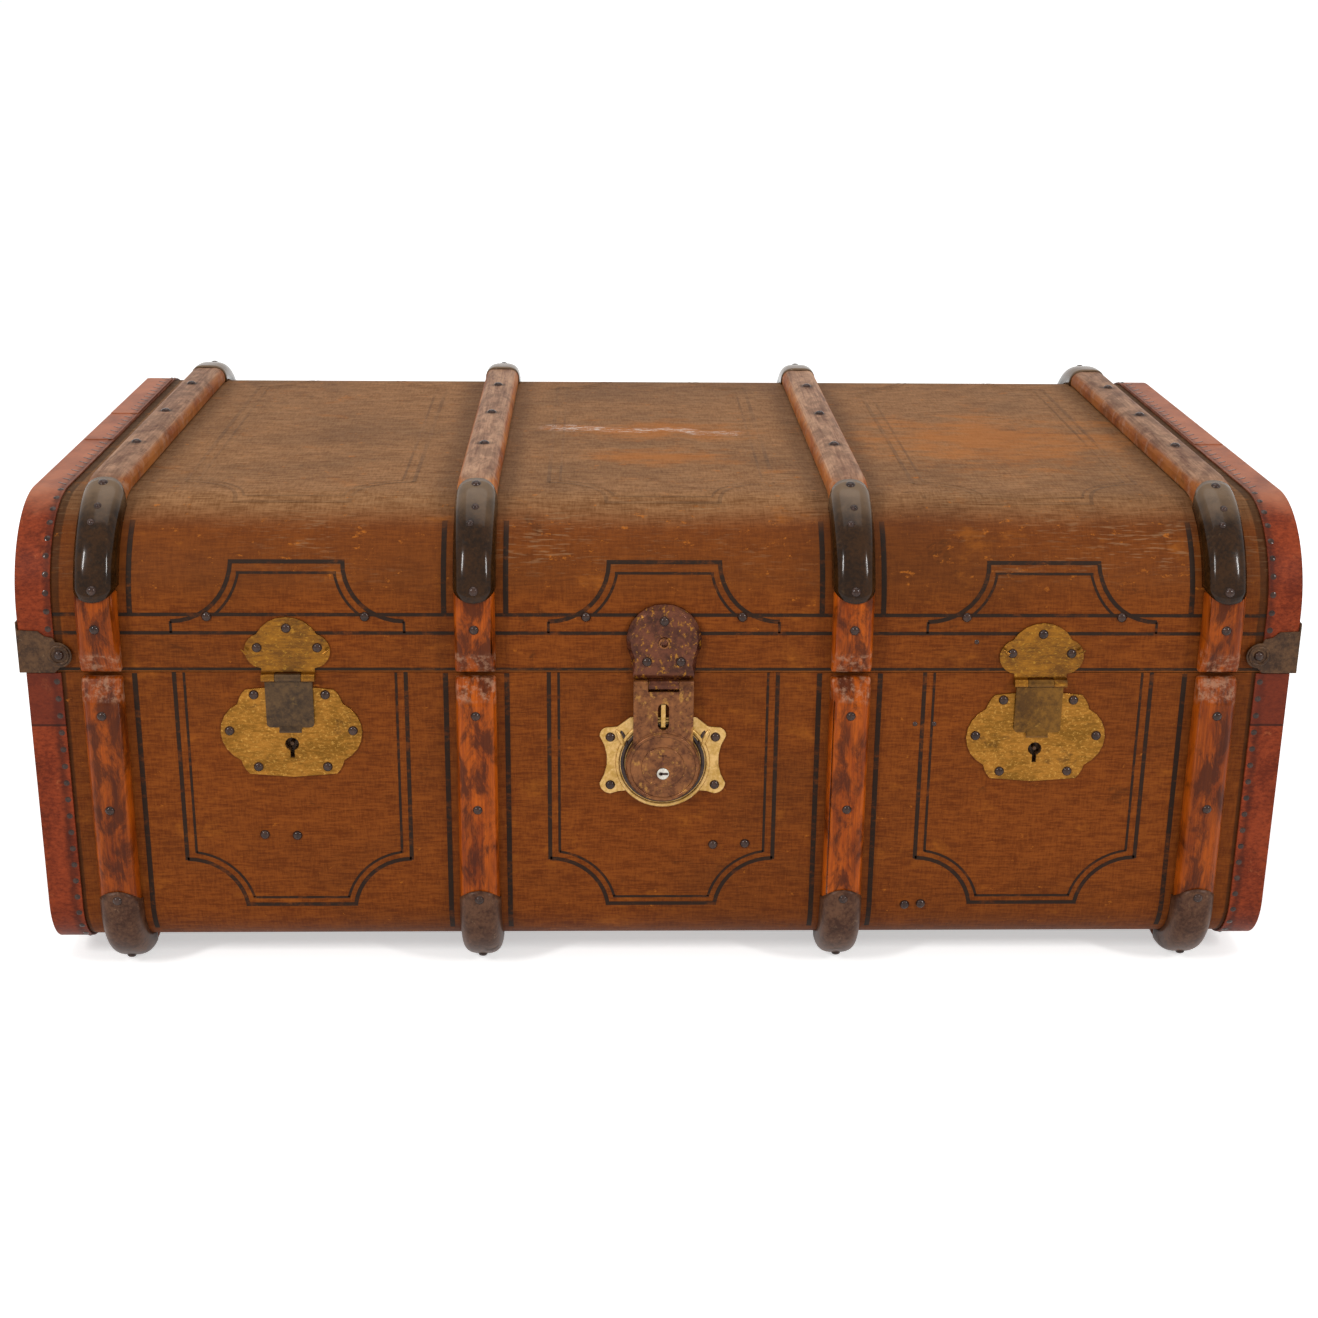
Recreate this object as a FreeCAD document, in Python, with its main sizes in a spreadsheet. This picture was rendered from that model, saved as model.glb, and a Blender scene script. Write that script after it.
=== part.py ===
import FreeCAD, Part
import math
import os

import Sketcher

# Travel trunk: a board case covered in painted canvas, with a hinged lid, wooden slats
# under steel corner clamps, three front hasps and a leather handle at each end.
# X runs along the trunk, Y from front to back and Z up from the floor, in millimetres.

doc = FreeCAD.newDocument("travel_trunk")

sizes = {
    # case
    "base_length": 905,
    "lid_overhang": 3,
    "case_depth": 530,
    "seam_height": 239,
    "lid_height": 116.5,
    "seam_gap": 0.6,
    "lid_corner_radius": 73,
    "base_corner_radius": 41,
    # skins and boards
    "canvas_thick": 0.8,
    "board_thick": 8,
    "end_board_thick": 10,
    "lining_thick": 0.6,
    "glue_line": 0.1,
    "overrun": 2,
    # lip round the inside of the base's rim
    "lip_thick": 4,
    "lip_rise": 12,
    "lip_depth": 30,
    "lip_play": 0.4,
    # binding along the ends
    "binding_width": 23,
    "binding_thick": 1.6,
    # slats
    "slat_width": 31,
    "slat_thick": 15,
    "slat_round": 8,
    "slat_end_space": 1.5,
    "slat_bevel_length": 18,
    "slat_bevel_depth": 9,
    "slat_back_stop": 16,
    "slat_front_bend": 14,
    "slat_top_bend": 21,
    # steel clamps on the lid's corners and shoes on the base's
    "clamp_sheet": 1.2,
    "clamp_play": 0.2,
    "clamp_start_angle": 8.5,
    "clamp_end_angle": 75,
    "clamp_nose": 10,
    "shoe_tail": 16,
    "shoe_hold": 13,
    # rivets in the hardware
    "rivet_radius": 3.6,
    "rivet_height": 1.4,
    "head_taper": 35,
    # corner brackets of the lid
    "bracket_sheet": 1.2,
    "bracket_width": 38,
    "bracket_height": 38,
    # fit of the hinged hardware
    "leaf_play": 0.2,
    "knuckle_play": 0.3,
    "pin_play": 0.2,
    # side locks
    "right_lock_drop": 4,
    "plate_sheet": 1.2,
    "lock_plate_width": 102,
    "lock_plate_height": 71,
    "lock_plate_drop": 9.5,
    "hasp_plate_width": 62,
    "hasp_plate_rise": 42,
    "side_axis_drop": 2.8,
    "side_knuckle_radius": 3.3,
    "side_knuckle_split": 9.5,
    "side_hinge_width": 38,
    "side_pin_radius": 1.5,
    "flap_width": 34,
    "flap_length": 38.2,
    "flap_sheet": 1.6,
    "flap_play": 0.5,
    "flap_corner": 3,
    "flap_lip_width": 16,
    "flap_lip_drop": 3.6,
    "flap_lip_out": 3,
    "flap_lip_curl": 38,
    "keyhole_radius": 5,
    "keyhole_tail": 10.5,
    "keyhole_slot": 3,
    "keyhole_pin_radius": 1.4,
    "keyhole_depth": 6,
    "lock_case_width": 64,
    "lock_case_height": 44,
    "lock_case_thick": 8.8,
    "lock_case_play": 0.3,
    # centre lock
    "dome_radius": 27,
    "dome_height": 6.2,
    "dome_rise": 25.5,
    "dome_shoulder_angle": 28,
    "dome_soften": 3,
    "dome_slope_length": 11,
    "dome_slope_depth": 4,
    "dome_dimple_radius": 3.5,
    "dome_dimple_depth": 0.8,
    "centre_axis_drop": 8,
    "centre_knuckle_radius": 3.9,
    "centre_knuckle_split": 10.5,
    "centre_pin_radius": 1.6,
    "hasp_play": 0.4,
    "hasp_sheet": 2,
    "hasp_disc_radius": 27.5,
    "hasp_disc_drop": 69.5,
    "hasp_shoulder_angle": 38,
    "hasp_disc_rise": 2,
    "hasp_soften": 1.6,
    "hasp_boss_radius": 14.5,
    "hasp_boss_rise": 0.7,
    "slot_drop": 21,
    "slot_length": 20.6,
    "slot_width": 8,
    "key_plug_radius": 4.4,
    "key_plug_drop": 4.8,
    "key_plug_proud": 0.5,
    "key_plug_depth": 5,
    "key_plug_play": 0.1,
    "key_slot_width": 1.4,
    "key_slot_length": 6,
    "key_slot_depth": 2,
    "centre_plate_width": 92,
    "centre_plate_height": 69,
    "centre_plate_drop": 34,
    "centre_plate_sheet": 1.5,
    "staple_bar": 3.4,
    "staple_bend": 1.6,
    "staple_space": 0.3,
    # back hinges
    "hinge_width": 76,
    "hinge_leaf_height": 36,
    "hinge_sheet": 1.5,
    "hinge_knuckle_radius": 4,
    "hinge_knuckle_split": 24,
    "hinge_pin_radius": 2.2,
    # end handles
    "handle_pivot_drop": 74,
    "handle_half_span": 64,
    "handle_drop": 56,
    "handle_corner": 24,
    "handle_width": 16,
    "handle_thick": 8,
    "handle_eye_radius": 6,
    "handle_pin_radius": 3,
    "handle_play": 0.5,
    "handle_ear": 2,
    "handle_plate_height": 40,
    "handle_plate_sheet": 1.5,
}

sheet = doc.addObject("Spreadsheet::Sheet", "Sizes")
for row, (alias, amount) in enumerate(sizes.items(), 1):
    sheet.set(f"A{row}", alias)
    sheet.set(f"B{row}", str(amount))
    sheet.setAlias(f"B{row}", alias)
doc.recompute()


def value_of(size):
    return size.value if isinstance(size, Size) else size


def formula_of(size):
    return size.formula if isinstance(size, Size) else repr(size)


class Size:
    """A length or angle with the sheet formula that it comes from."""

    def __init__(self, value, formula):
        self.value = value
        self.formula = formula

    def __add__(self, other):
        return Size(self.value + value_of(other), f"({self.formula} + {formula_of(other)})")

    def __sub__(self, other):
        return Size(self.value - value_of(other), f"({self.formula} - {formula_of(other)})")

    def __rsub__(self, other):
        return Size(value_of(other) - self.value, f"({formula_of(other)} - {self.formula})")

    def __mul__(self, other):
        return Size(self.value * value_of(other), f"({self.formula} * {formula_of(other)})")

    def __truediv__(self, other):
        return Size(self.value / value_of(other), f"({self.formula} / {formula_of(other)})")

    def __rtruediv__(self, other):
        return Size(value_of(other) / self.value, f"({formula_of(other)} / {self.formula})")

    def __neg__(self):
        return Size(-self.value, f"(-{self.formula})")

    __radd__ = __add__
    __rmul__ = __mul__


def cosine(angle):
    return Size(math.cos(math.radians(angle.value)), f"cos({angle.formula})")


def sine(angle):
    return Size(math.sin(math.radians(angle.value)), f"sin({angle.formula})")


class Sheet:
    """The named sizes, read as attributes."""


s = Sheet()
for alias in sizes:
    setattr(s, alias, Size(float(sheet.get(alias)), f"Sizes.{alias}"))

# Places along the trunk, as shares of the base's length
slat_place_shares = (0.1487293, 0.4419890)
lock_place_shares = (0.2966851, 0.3011050)
hinge_place_share = 0.2950276
keyhole_share = 0.36338

# Lengths and heights that follow the case: a rise is above its seam and a drop below
s.lid_length = s.base_length + s.lid_overhang * 2
s.case_height = s.seam_height + s.lid_height
s.slat_inner_place, s.slat_outer_place = [s.base_length * share for share in slat_place_shares]
s.left_lock_place, s.right_lock_place = [s.base_length * share for share in lock_place_shares]
s.hinge_place = s.base_length * hinge_place_share
s.lock_plate_low = s.seam_height - s.lock_plate_drop - s.lock_plate_height
s.keyhole_height = s.lock_plate_low + s.lock_plate_height * keyhole_share
s.hasp_plate_high = s.seam_height + s.hasp_plate_rise
s.side_axis_height = s.seam_height - s.side_axis_drop
s.flap_low = s.side_axis_height - s.flap_length
s.dome_centre = s.seam_height + s.dome_rise
s.centre_axis_height = s.seam_height - s.centre_axis_drop
s.hasp_disc_centre = s.seam_height - s.hasp_disc_drop
s.key_plug_height = s.hasp_disc_centre - s.key_plug_drop
s.slot_high = s.seam_height - s.slot_drop
s.slot_low = s.slot_high - s.slot_length
s.centre_plate_low = s.seam_height - s.centre_plate_drop - s.centre_plate_height
s.handle_pivot_height = s.seam_height - s.handle_pivot_drop


def turn(degrees):
    """The bulge of an arc that turns by this many degrees: the tangent of a quarter of it."""
    return math.tan(math.radians(value_of(degrees)) / 4)


quarter = turn(90)
level, straight_up = Size(0, "0"), Size(90, "90")


def bind(thing, name, size):
    thing.setExpression(name, formula_of(size))


def new_body(label):
    body = doc.addObject("PartDesign::Body", label)
    body.Label = label
    return body


def new_sketch(body, plane, lift=None, up=None, tilt=None):
    """A sketch on one of the body's own planes, lifted along its normal, shifted up it or tilted."""
    sketch = body.newObject("Sketcher::SketchObject", "Outline")
    origin = [f for f in body.Origin.OriginFeatures if f.Role == plane + "_Plane"][0]
    sketch.AttachmentSupport = [(origin, "")]
    sketch.MapMode = "FlatFace"
    if tilt is not None:
        about_x = FreeCAD.Rotation(FreeCAD.Vector(1, 0, 0), 1)
        sketch.AttachmentOffset = FreeCAD.Placement(FreeCAD.Vector(), about_x)
        bind(sketch, ".AttachmentOffset.Rotation.Angle", tilt)
    for axis, size in (("y", up), ("z", lift)):
        if size is not None:
            bind(sketch, f".AttachmentOffset.Base.{axis}", size)
    return sketch


def pin_point(sketch, index, end, x, y):
    for kind, size in (("DistanceX", x), ("DistanceY", y)):
        amount = float(value_of(size))
        number = sketch.addConstraint(Sketcher.Constraint(kind, -1, 1, index, end, amount))
        if isinstance(size, Size):
            sketch.setExpression(f"Constraints[{number}]", size.formula)


def arc_between(start, stop, bulge):
    """The circle arc from start to stop."""
    chord = math.hypot(stop[0] - start[0], stop[1] - start[1])
    radius = chord * (1 + bulge ** 2) / (4 * abs(bulge))
    reach = (1 - bulge ** 2) / (4 * bulge)
    centre = FreeCAD.Vector((start[0] + stop[0]) / 2 - (stop[1] - start[1]) * reach,
                            (start[1] + stop[1]) / 2 + (stop[0] - start[0]) * reach, 0)
    first, last = (start, stop) if bulge > 0 else (stop, start)
    angles = [math.atan2(p[1] - centre.y, p[0] - centre.x) for p in (first, last)]
    if angles[1] < angles[0]:
        angles[1] += 2 * math.pi
    return Part.ArcOfCircle(Part.Circle(centre, FreeCAD.Vector(0, 0, 1), radius), *angles)


def draw(sketch, path, closed=True):
    """Lines and arcs through the path's points. A third item is the bulge of the arc to that point."""
    count = len(path) if closed else len(path) - 1
    ends = []
    for step in range(count):
        here, there = path[step], path[(step + 1) % len(path)]
        start = (value_of(here[0]), value_of(here[1]))
        stop = (value_of(there[0]), value_of(there[1]))
        if len(there) == 2:
            edge = Part.LineSegment(FreeCAD.Vector(*start, 0), FreeCAD.Vector(*stop, 0))
            index = sketch.addGeometry(edge, False)
            ends.append((index, 1, 2))
        else:
            bulge = there[2]
            index = sketch.addGeometry(arc_between(start, stop, bulge), False)
            ends.append((index, 1, 2) if bulge > 0 else (index, 2, 1))
            dx, dy = there[0] - here[0], there[1] - here[1]
            radius_share = (1 + bulge ** 2) / (4 * abs(bulge))
            chord = math.hypot(value_of(dx), value_of(dy))
            number = sketch.addConstraint(Sketcher.Constraint("Radius", index, chord * radius_share))
            chord_formula = f"sqrt({formula_of(dx)}^2 + {formula_of(dy)}^2)"
            sketch.setExpression(f"Constraints[{number}]", f"{chord_formula} * {radius_share!r}")
        pin_point(sketch, index, ends[-1][1], here[0], here[1])
    for step in range(count if closed else count - 1):
        here, after = ends[step], ends[(step + 1) % count]
        sketch.addConstraint(Sketcher.Constraint("Coincident", here[0], here[2], after[0], after[1]))
    if not closed:
        pin_point(sketch, ends[-1][0], ends[-1][2], path[-1][0], path[-1][1])
    return sketch


def in_flats(path):
    """The same outline with each arc drawn in flats, for what repeats or is small."""
    outline = []
    for number, (x, y, *rest) in enumerate(path):
        if rest:
            before, bulge = path[number - 1], rest[0]
            sweep, reach = 4 * math.atan(bulge), (1 - bulge ** 2) / (4 * bulge)
            radius, first = math.hypot(reach, 0.5), math.atan2(-reach, -0.5)
            flats = math.ceil(abs(sweep) / flat_turn)
            dx, dy = x - before[0], y - before[1]
            for step in range(1, flats):
                angle = first + sweep * step / flats
                along = round(math.cos(angle) * radius + 0.5, 6)
                aside = round(math.sin(angle) * radius + reach, 6)
                outline.append((before[0] + dx * along - dy * aside, before[1] + dy * along + dx * aside))
        outline.append((x, y))
    return outline


def ring_shares(flats):
    turns = [math.radians(360 * step / flats) for step in range(flats)]
    return [(round(math.cos(angle), 6), round(math.sin(angle), 6)) for angle in turns]


small_flats, large_flats = 12, 30
flat_turn = math.radians(16)


def draw_ring(sketch, x, y, radius, flats=small_flats):
    """A round in flats, for what repeats or is large."""
    return draw(sketch, [(x + radius * a, y + radius * b) for a, b in ring_shares(flats)])


def draw_circle(sketch, x, y, radius):
    centre = FreeCAD.Vector(value_of(x), value_of(y), 0)
    index = sketch.addGeometry(Part.Circle(centre, FreeCAD.Vector(0, 0, 1), value_of(radius)), False)
    pin_point(sketch, index, 3, x, y)
    number = sketch.addConstraint(Sketcher.Constraint("Radius", index, value_of(radius)))
    bind(sketch, f"Constraints[{number}]", radius)
    return sketch


def box_path(left, low, right, high):
    return [(left, low), (right, low), (right, high), (left, high)]


def mirrored(half):
    """A whole outline from its right half, which runs from the lower middle to the upper middle."""
    whole = list(half)
    if value_of(half[-1][0]) != 0:
        whole.append((-half[-1][0], half[-1][1]))
    for step in range(len(half) - 1, 0, -1):
        x, y = half[step - 1][:2]
        if step > 1 or value_of(x) != 0:
            whole.append((-x, y) + tuple(half[step][2:]))
    if value_of(half[0][0]) == 0 and len(half[1]) == 3:
        whole[0] = whole[0][:2] + tuple(half[1][2:])
    return whole


def flipped(path):
    """The same outline turned upside down."""
    return [(x, -y, *[-bulge for bulge in rest]) for x, y, *rest in path]


def shaped(table, width, height, low):
    """The right half of an outline, from shares of its whole width and of its height."""
    return [(width * row[0] if row[0] else 0, low + height * row[1], *row[2:]) for row in table]


def faceted_corners(half, high, radius):
    """Both upper corners of an outline, from right to left, each rounded in three flats."""
    corner_shares = ring_shares(12)[:4]
    right = [(half - radius + radius * x, high - radius + radius * y) for x, y in corner_shares]
    return right + [(-x, y) for x, y in reversed(right)]


def pad(body, sketch, length, symmetric=False):
    feature = body.newObject("PartDesign::Pad", "Pad")
    feature.Profile = (sketch, [""])
    feature.SideType = "Symmetric" if symmetric else "One side"
    bind(feature, "Length", length)
    return feature


def pocket(body, sketch, length, symmetric=False):
    """A cut from the sketch against its normal, or to both sides of it."""
    feature = body.newObject("PartDesign::Pocket", "Pocket")
    feature.Profile = (sketch, [""])
    feature.SideType = "Symmetric" if symmetric else "One side"
    bind(feature, "Length", length)
    return feature


def bend(body, path, centre_y, centre_z, start, sweep, flats, lead_in=None, lead_out=0):
    """Carries a section round a line along X, in flats, between two angles above the line's front.
    With a lead the section also runs straight on, as far as the lead is long."""
    swell = 1 / cosine(sweep / (flats * 2))
    onward = 1 if sweep.value > 0 else -1
    if lead_in is None:
        stops = [(step / flats, swell, 0) for step in range(flats + 1)]
    else:
        stops = [((step + 0.5) / flats, swell, 0) for step in range(flats)]
        stops = [(0, 1, -lead_in)] + stops + [(1, 1, lead_out)]
    sections = []
    for share, stretch, lead in stops:
        angle = start + sweep * share
        y = centre_y + sine(angle) * lead * onward
        z = centre_z + cosine(angle) * lead * onward
        section = new_sketch(body, "XY", z, y, -angle)
        sections.append(draw(section, flipped([(x, height * stretch) for x, height in path])))
    feature = body.newObject("PartDesign::AdditiveLoft", "Bend")
    feature.Profile = (sections[0], [""])
    feature.Sections = [(section, [""]) for section in sections[1:]]
    feature.Ruled = True
    return feature


def soften(body, feature, depth, size):
    """A chamfer along the edges of the face that lies at this distance in front of the middle."""
    doc.recompute()
    names = []
    for number, edge in enumerate(feature.Shape.Edges, 1):
        box = edge.BoundBox
        if abs(box.YMin + depth.value) < 1e-4 and abs(box.YMax + depth.value) < 1e-4:
            names.append(f"Edge{number}")
    chamfer = body.newObject("PartDesign::Chamfer", "Soften")
    chamfer.Base = (feature, names)
    bind(chamfer, "Size", size)
    return chamfer


def place(thing, x=None, y=None, z=None, tilt=None):
    if tilt is not None:
        about_x = FreeCAD.Rotation(FreeCAD.Vector(1, 0, 0), 1)
        thing.Placement = FreeCAD.Placement(FreeCAD.Vector(), about_x)
        bind(thing, ".Placement.Rotation.Angle", tilt)
    for axis, size in (("x", x), ("y", y), ("z", z)):
        if size is not None:
            bind(thing, f".Placement.Base.{axis}", size)
    return thing


def group(label, members, **where):
    compound = doc.addObject("Part::Compound", label)
    compound.Label = label
    compound.Links = members
    return place(compound, **where)


def mirror(label, source, normal):
    image = doc.addObject("Part::Mirroring", label)
    image.Label = label
    image.Source = source
    image.Normal = FreeCAD.Vector(*normal)
    return image


across_x, across_y = (1, 0, 0), (0, 1, 0)
nodes = []


def keep(*things):
    nodes.extend(things)


# Heights and offsets that many pieces share. Offsets from the canvas are positive outwards.
front = s.case_depth / 2
seat = s.glue_line
underside = s.slat_thick + seat + s.clamp_play + s.clamp_sheet
lid_rim = s.seam_height + s.seam_gap
board_outer = s.canvas_thick + s.glue_line
board_inner = board_outer + s.board_thick
lining_outer = board_inner + s.glue_line
lining_inner = lining_outer + s.lining_thick
end_inner = board_outer + s.end_board_thick + s.glue_line
binding_outer = seat + s.binding_thick


def base_outline(offset, rim):
    side, low, radius = front + offset, underside - offset, s.base_corner_radius + offset
    return [(-side, rim), (-side, low + radius), (-side + radius, low, quarter),
            (side - radius, low), (side, low + radius, quarter), (side, rim)]


def lid_outline(offset, rim):
    side, high, radius = front + offset, s.case_height + offset, s.lid_corner_radius + offset
    return [(side, rim), (side, high - radius), (side - radius, high, quarter),
            (-side + radius, high), (-side, high - radius, quarter), (-side, rim)]


halves = {
    "base": (base_outline, s.base_length, s.seam_height, s.seam_height + s.overrun),
    "lid": (lid_outline, s.lid_length, lid_rim, lid_rim - s.overrun),
}

# Boards, canvas, lining and binding


def tray(label, half, outer, inner, outer_ends, inner_ends):
    """A five-sided shell, open at the seam, between two offsets into the case."""
    outline, length, rim, past_rim = halves[half]
    body = new_body(label)
    pad(body, draw(new_sketch(body, "YZ"), outline(-outer, rim)), length - outer_ends * 2, True)
    cut = draw(new_sketch(body, "YZ"), outline(-inner, past_rim))
    pocket(body, cut, length - inner_ends * 2, True)
    return body


def cut_front(body, low, high, middle, half_width, depth):
    """A rectangular hole through the front wall."""
    hole = new_sketch(body, "XZ", lift=front + s.overrun)
    draw(hole, box_path(middle - half_width, low, middle + half_width, high))
    pocket(body, hole, depth + s.overrun)


side_locks = {"left": (-s.left_lock_place, 0), "right": (s.right_lock_place, -s.right_lock_drop)}
case_play = s.lock_case_play
case_hole_half = s.lock_case_width / 2 + case_play
case_hole_low = s.keyhole_height - s.lock_case_height / 2 - case_play
case_hole_high = s.keyhole_height + s.lock_case_height / 2 + case_play


def make_boards(half):
    outline, length, rim, past_rim = halves[half]
    wrap = new_body(f"{half}_wrap_board")
    board_length = length - board_outer * 2
    pad(wrap, draw(new_sketch(wrap, "YZ"), outline(-board_outer, rim)), board_length, True)
    pocket(wrap, draw(new_sketch(wrap, "YZ"), outline(-board_inner, past_rim)), length, True)
    end = new_body(f"{half}_end_board_right")
    sketch = new_sketch(end, "YZ", lift=board_length / 2 - s.end_board_thick)
    pad(end, draw(sketch, outline(-lining_outer, rim)), s.end_board_thick)
    canvas = tray(f"{half}_canvas", half, 0, s.canvas_thick, 0, s.canvas_thick)
    lining = tray(f"{half}_lining", half, lining_outer, lining_inner, end_inner,
                  end_inner + s.lining_thick)
    if half == "base":
        for middle, drop in side_locks.values():
            low, high = case_hole_low + drop, case_hole_high + drop
            cut_front(wrap, low, high, middle, case_hole_half, board_inner)
            cut_front(canvas, low, high, middle, case_hole_half, s.canvas_thick)
    keep(wrap, end, mirror(f"{half}_end_board_left", end, across_x), canvas, lining)


def make_binding(half):
    """A strip bent over the edge between the wrapped board and the end."""
    outline, length, rim, past_rim = halves[half]
    body = new_body(f"{half}_binding_right")
    start = length / 2 - s.binding_width
    solid = draw(new_sketch(body, "YZ", lift=start), outline(binding_outer, rim))
    pad(body, solid, s.binding_width + binding_outer)
    inner = draw(new_sketch(body, "YZ", lift=length / 2 + seat), outline(seat, past_rim))
    pocket(body, inner, s.binding_width + seat + s.overrun)
    window = new_sketch(body, "YZ", lift=length / 2 + binding_outer + s.overrun)
    draw(window, outline(-s.binding_width, past_rim))
    pocket(body, window, binding_outer + s.overrun * 2)
    keep(body, mirror(f"{half}_binding_left", body, across_x))


def make_lip():
    """A frame that stands up inside the base's rim and keeps the closed lid in line."""
    body = new_body("base_rim_lip")
    half_x = s.base_length / 2 - end_inner - s.lining_thick - s.lip_play
    half_y = front - lining_inner - s.lip_play
    sketch = new_sketch(body, "XY", lift=s.seam_height - s.lip_depth)
    pad(body, draw(sketch, box_path(-half_x, -half_y, half_x, half_y)), s.lip_depth + s.lip_rise)
    in_x, in_y = half_x - s.lip_thick, half_y - s.lip_thick
    hole = new_sketch(body, "XY", lift=s.seam_height + s.lip_rise + s.overrun)
    draw(hole, box_path(-in_x, -in_y, in_x, in_y))
    pocket(body, hole, s.lip_depth + s.lip_rise + s.overrun * 2)
    keep(body)


# Slats

slat_places = [-s.slat_outer_place, -s.slat_inner_place, s.slat_inner_place, s.slat_outer_place]
slat_crown = seat + s.slat_thick
lid_bend_y = front - s.lid_corner_radius
lid_bend_z = s.case_height - s.lid_corner_radius
base_bend_y = front - s.base_corner_radius
base_bend_z = underside + s.base_corner_radius


def slat_section(base):
    """The slat's section: flat underneath and on the crown, with rounded shoulders."""
    half, high = s.slat_width / 2, base + s.slat_thick
    return [(-half, base), (half, base)] + faceted_corners(half, high, s.slat_round)


def bevel_end(body, tip, towards):
    """The slope at a front slat's end. The end is at this height and the slat goes on up (1) or down (-1)."""
    over = s.overrun
    crown = front + slat_crown
    toe = crown - s.slat_bevel_depth
    slope = s.slat_bevel_depth / s.slat_bevel_length
    path = [(-crown - over, tip - over * towards),
            (-toe + slope * over, tip - over * towards),
            (-crown - over, tip + (s.slat_bevel_length + over / slope) * towards)]
    pocket(body, draw(new_sketch(body, "YZ"), path), s.slat_width + over, True)


def lid_front_slat(label, low):
    """A slat up the lid's front that bends a little way round the corner under the clamp."""
    body = new_body(label)
    section = slat_section(s.lid_corner_radius + seat)
    bend(body, section, -lid_bend_y, lid_bend_z, level, s.slat_front_bend, 2, lid_bend_z - low)
    return body


def lid_top_slat(label):
    """A slat over the lid's top, bent down at both ends under the clamps."""
    body = new_body(label)
    section = slat_section(s.lid_corner_radius + seat)
    for side in (-1, 1):
        bend(body, section, lid_bend_y * side, lid_bend_z, straight_up, s.slat_top_bend * side, 3, lid_bend_y)
    return body


def base_upright_slat(label, high):
    body = new_body(label)
    low = base_bend_z + s.shoe_tail - s.shoe_hold
    section = draw(new_sketch(body, "XY", lift=low), flipped(slat_section(front + seat)))
    pad(body, section, high - low)
    return body


def row_of_four(label, members):
    rows = [group(f"{label}_row_{number}", members, x=middle)
            for number, middle in enumerate(slat_places, 1)]
    return group(label, rows)


def make_slats():
    lid_low = lid_rim + s.slat_end_space
    base_high = s.seam_height - s.slat_end_space
    for number, middle in enumerate(slat_places, 1):
        lid_front = lid_front_slat(f"lid_front_slat_{number}", lid_low)
        bevel_end(lid_front, lid_low, 1)
        base_front = base_upright_slat(f"base_front_slat_{number}", base_high)
        bevel_end(base_front, base_high, -1)
        lid_top = lid_top_slat(f"lid_top_slat_{number}")
        for body in (lid_front, lid_top, base_front):
            keep(place(body, x=middle))
    lid_back = lid_front_slat("lid_back_slat_pattern", lid_rim + s.slat_back_stop)
    base_back = base_upright_slat("base_back_slat_pattern", s.seam_height - s.slat_back_stop)
    bottom = new_body("base_bottom_slat_pattern")
    section = draw(new_sketch(bottom, "XZ"), flipped(slat_section(-underside + seat)))
    pad(bottom, section, (base_bend_y - s.shoe_tail + s.shoe_hold) * 2, True)
    keep(row_of_four("lid_back_slats", [mirror("lid_back_slat", lid_back, across_y)]))
    keep(row_of_four("base_back_slats", [mirror("base_back_slat", base_back, across_y)]))
    keep(row_of_four("base_bottom_slats", [bottom]))


# Clamps and shoes

cap_half = s.slat_width / 2 + s.clamp_play + s.clamp_sheet
cap_thick = s.slat_thick + s.clamp_play + s.clamp_sheet
cap_round = s.slat_round + s.clamp_play + s.clamp_sheet
chamfer_share = 2 - math.sqrt(2)
nose_shares = [(0.74, 0.42), (0.36, 0.07)]


def cap_section(base):
    """The pressed sheet over a slat, open underneath: rounded outside and chamfered inside."""
    high = base + cap_thick
    inner, under = cap_half - s.clamp_sheet, high - s.clamp_sheet
    cut = (s.slat_round + s.clamp_play) * chamfer_share
    outside = [(cap_half, base)] + faceted_corners(cap_half, high, cap_round) + [(-cap_half, base)]
    return outside + [(-inner, base), (-inner, under - cut), (-inner + cut, under),
                      (inner - cut, under), (inner, under - cut), (inner, base)]


def round_nose(body, plane, lift, up, towards, tilt=None):
    """Rounds the end of a cap, seen square on. Its tip is the sketch's origin and points up or down."""
    over = s.overrun
    shoulder = -s.clamp_nose * towards
    past = over * towards
    left = [(-cap_half * x, shoulder * z) for x, z in nose_shares]
    path = [(cap_half + over, shoulder), (cap_half + over, past), (-cap_half - over, past),
            (-cap_half - over, shoulder), (-cap_half, shoulder)]
    path += left + [(-x, z) for x, z in reversed(left)] + [(cap_half, shoulder)]
    pocket(body, draw(new_sketch(body, plane, lift, up, tilt), path), cap_thick + over * 2)


def lid_clamp():
    """The clamp over the lid's rounded edge, turned about the edge's own centre."""
    body = new_body("lid_clamp_pattern")
    base = s.lid_corner_radius + seat
    bend(body, cap_section(base), -lid_bend_y, lid_bend_z, s.clamp_start_angle,
         s.clamp_end_angle - s.clamp_start_angle, 5, False)
    reach = base + cap_thick + s.overrun
    for angle, towards in ((s.clamp_start_angle, -1), (s.clamp_end_angle, 1)):
        lift = lid_bend_y + reach * cosine(angle)
        up = lid_bend_z + reach * sine(angle)
        round_nose(body, "XZ", lift, up, towards, -angle)
    return body


def base_shoe():
    """The shoe under the base's rounded edge, with a short tail up the front and one underneath."""
    body = new_body("base_shoe_pattern")
    high = base_bend_z + s.shoe_tail
    section = cap_section(s.base_corner_radius + seat)
    bend(body, section, -base_bend_y, base_bend_z, level, -straight_up, 5, s.shoe_tail, s.shoe_tail)
    round_nose(body, "XZ", front + seat + cap_thick + s.overrun, high, 1)
    round_nose(body, "XY", underside + s.overrun, -base_bend_y + s.shoe_tail, 1)
    return body


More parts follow.
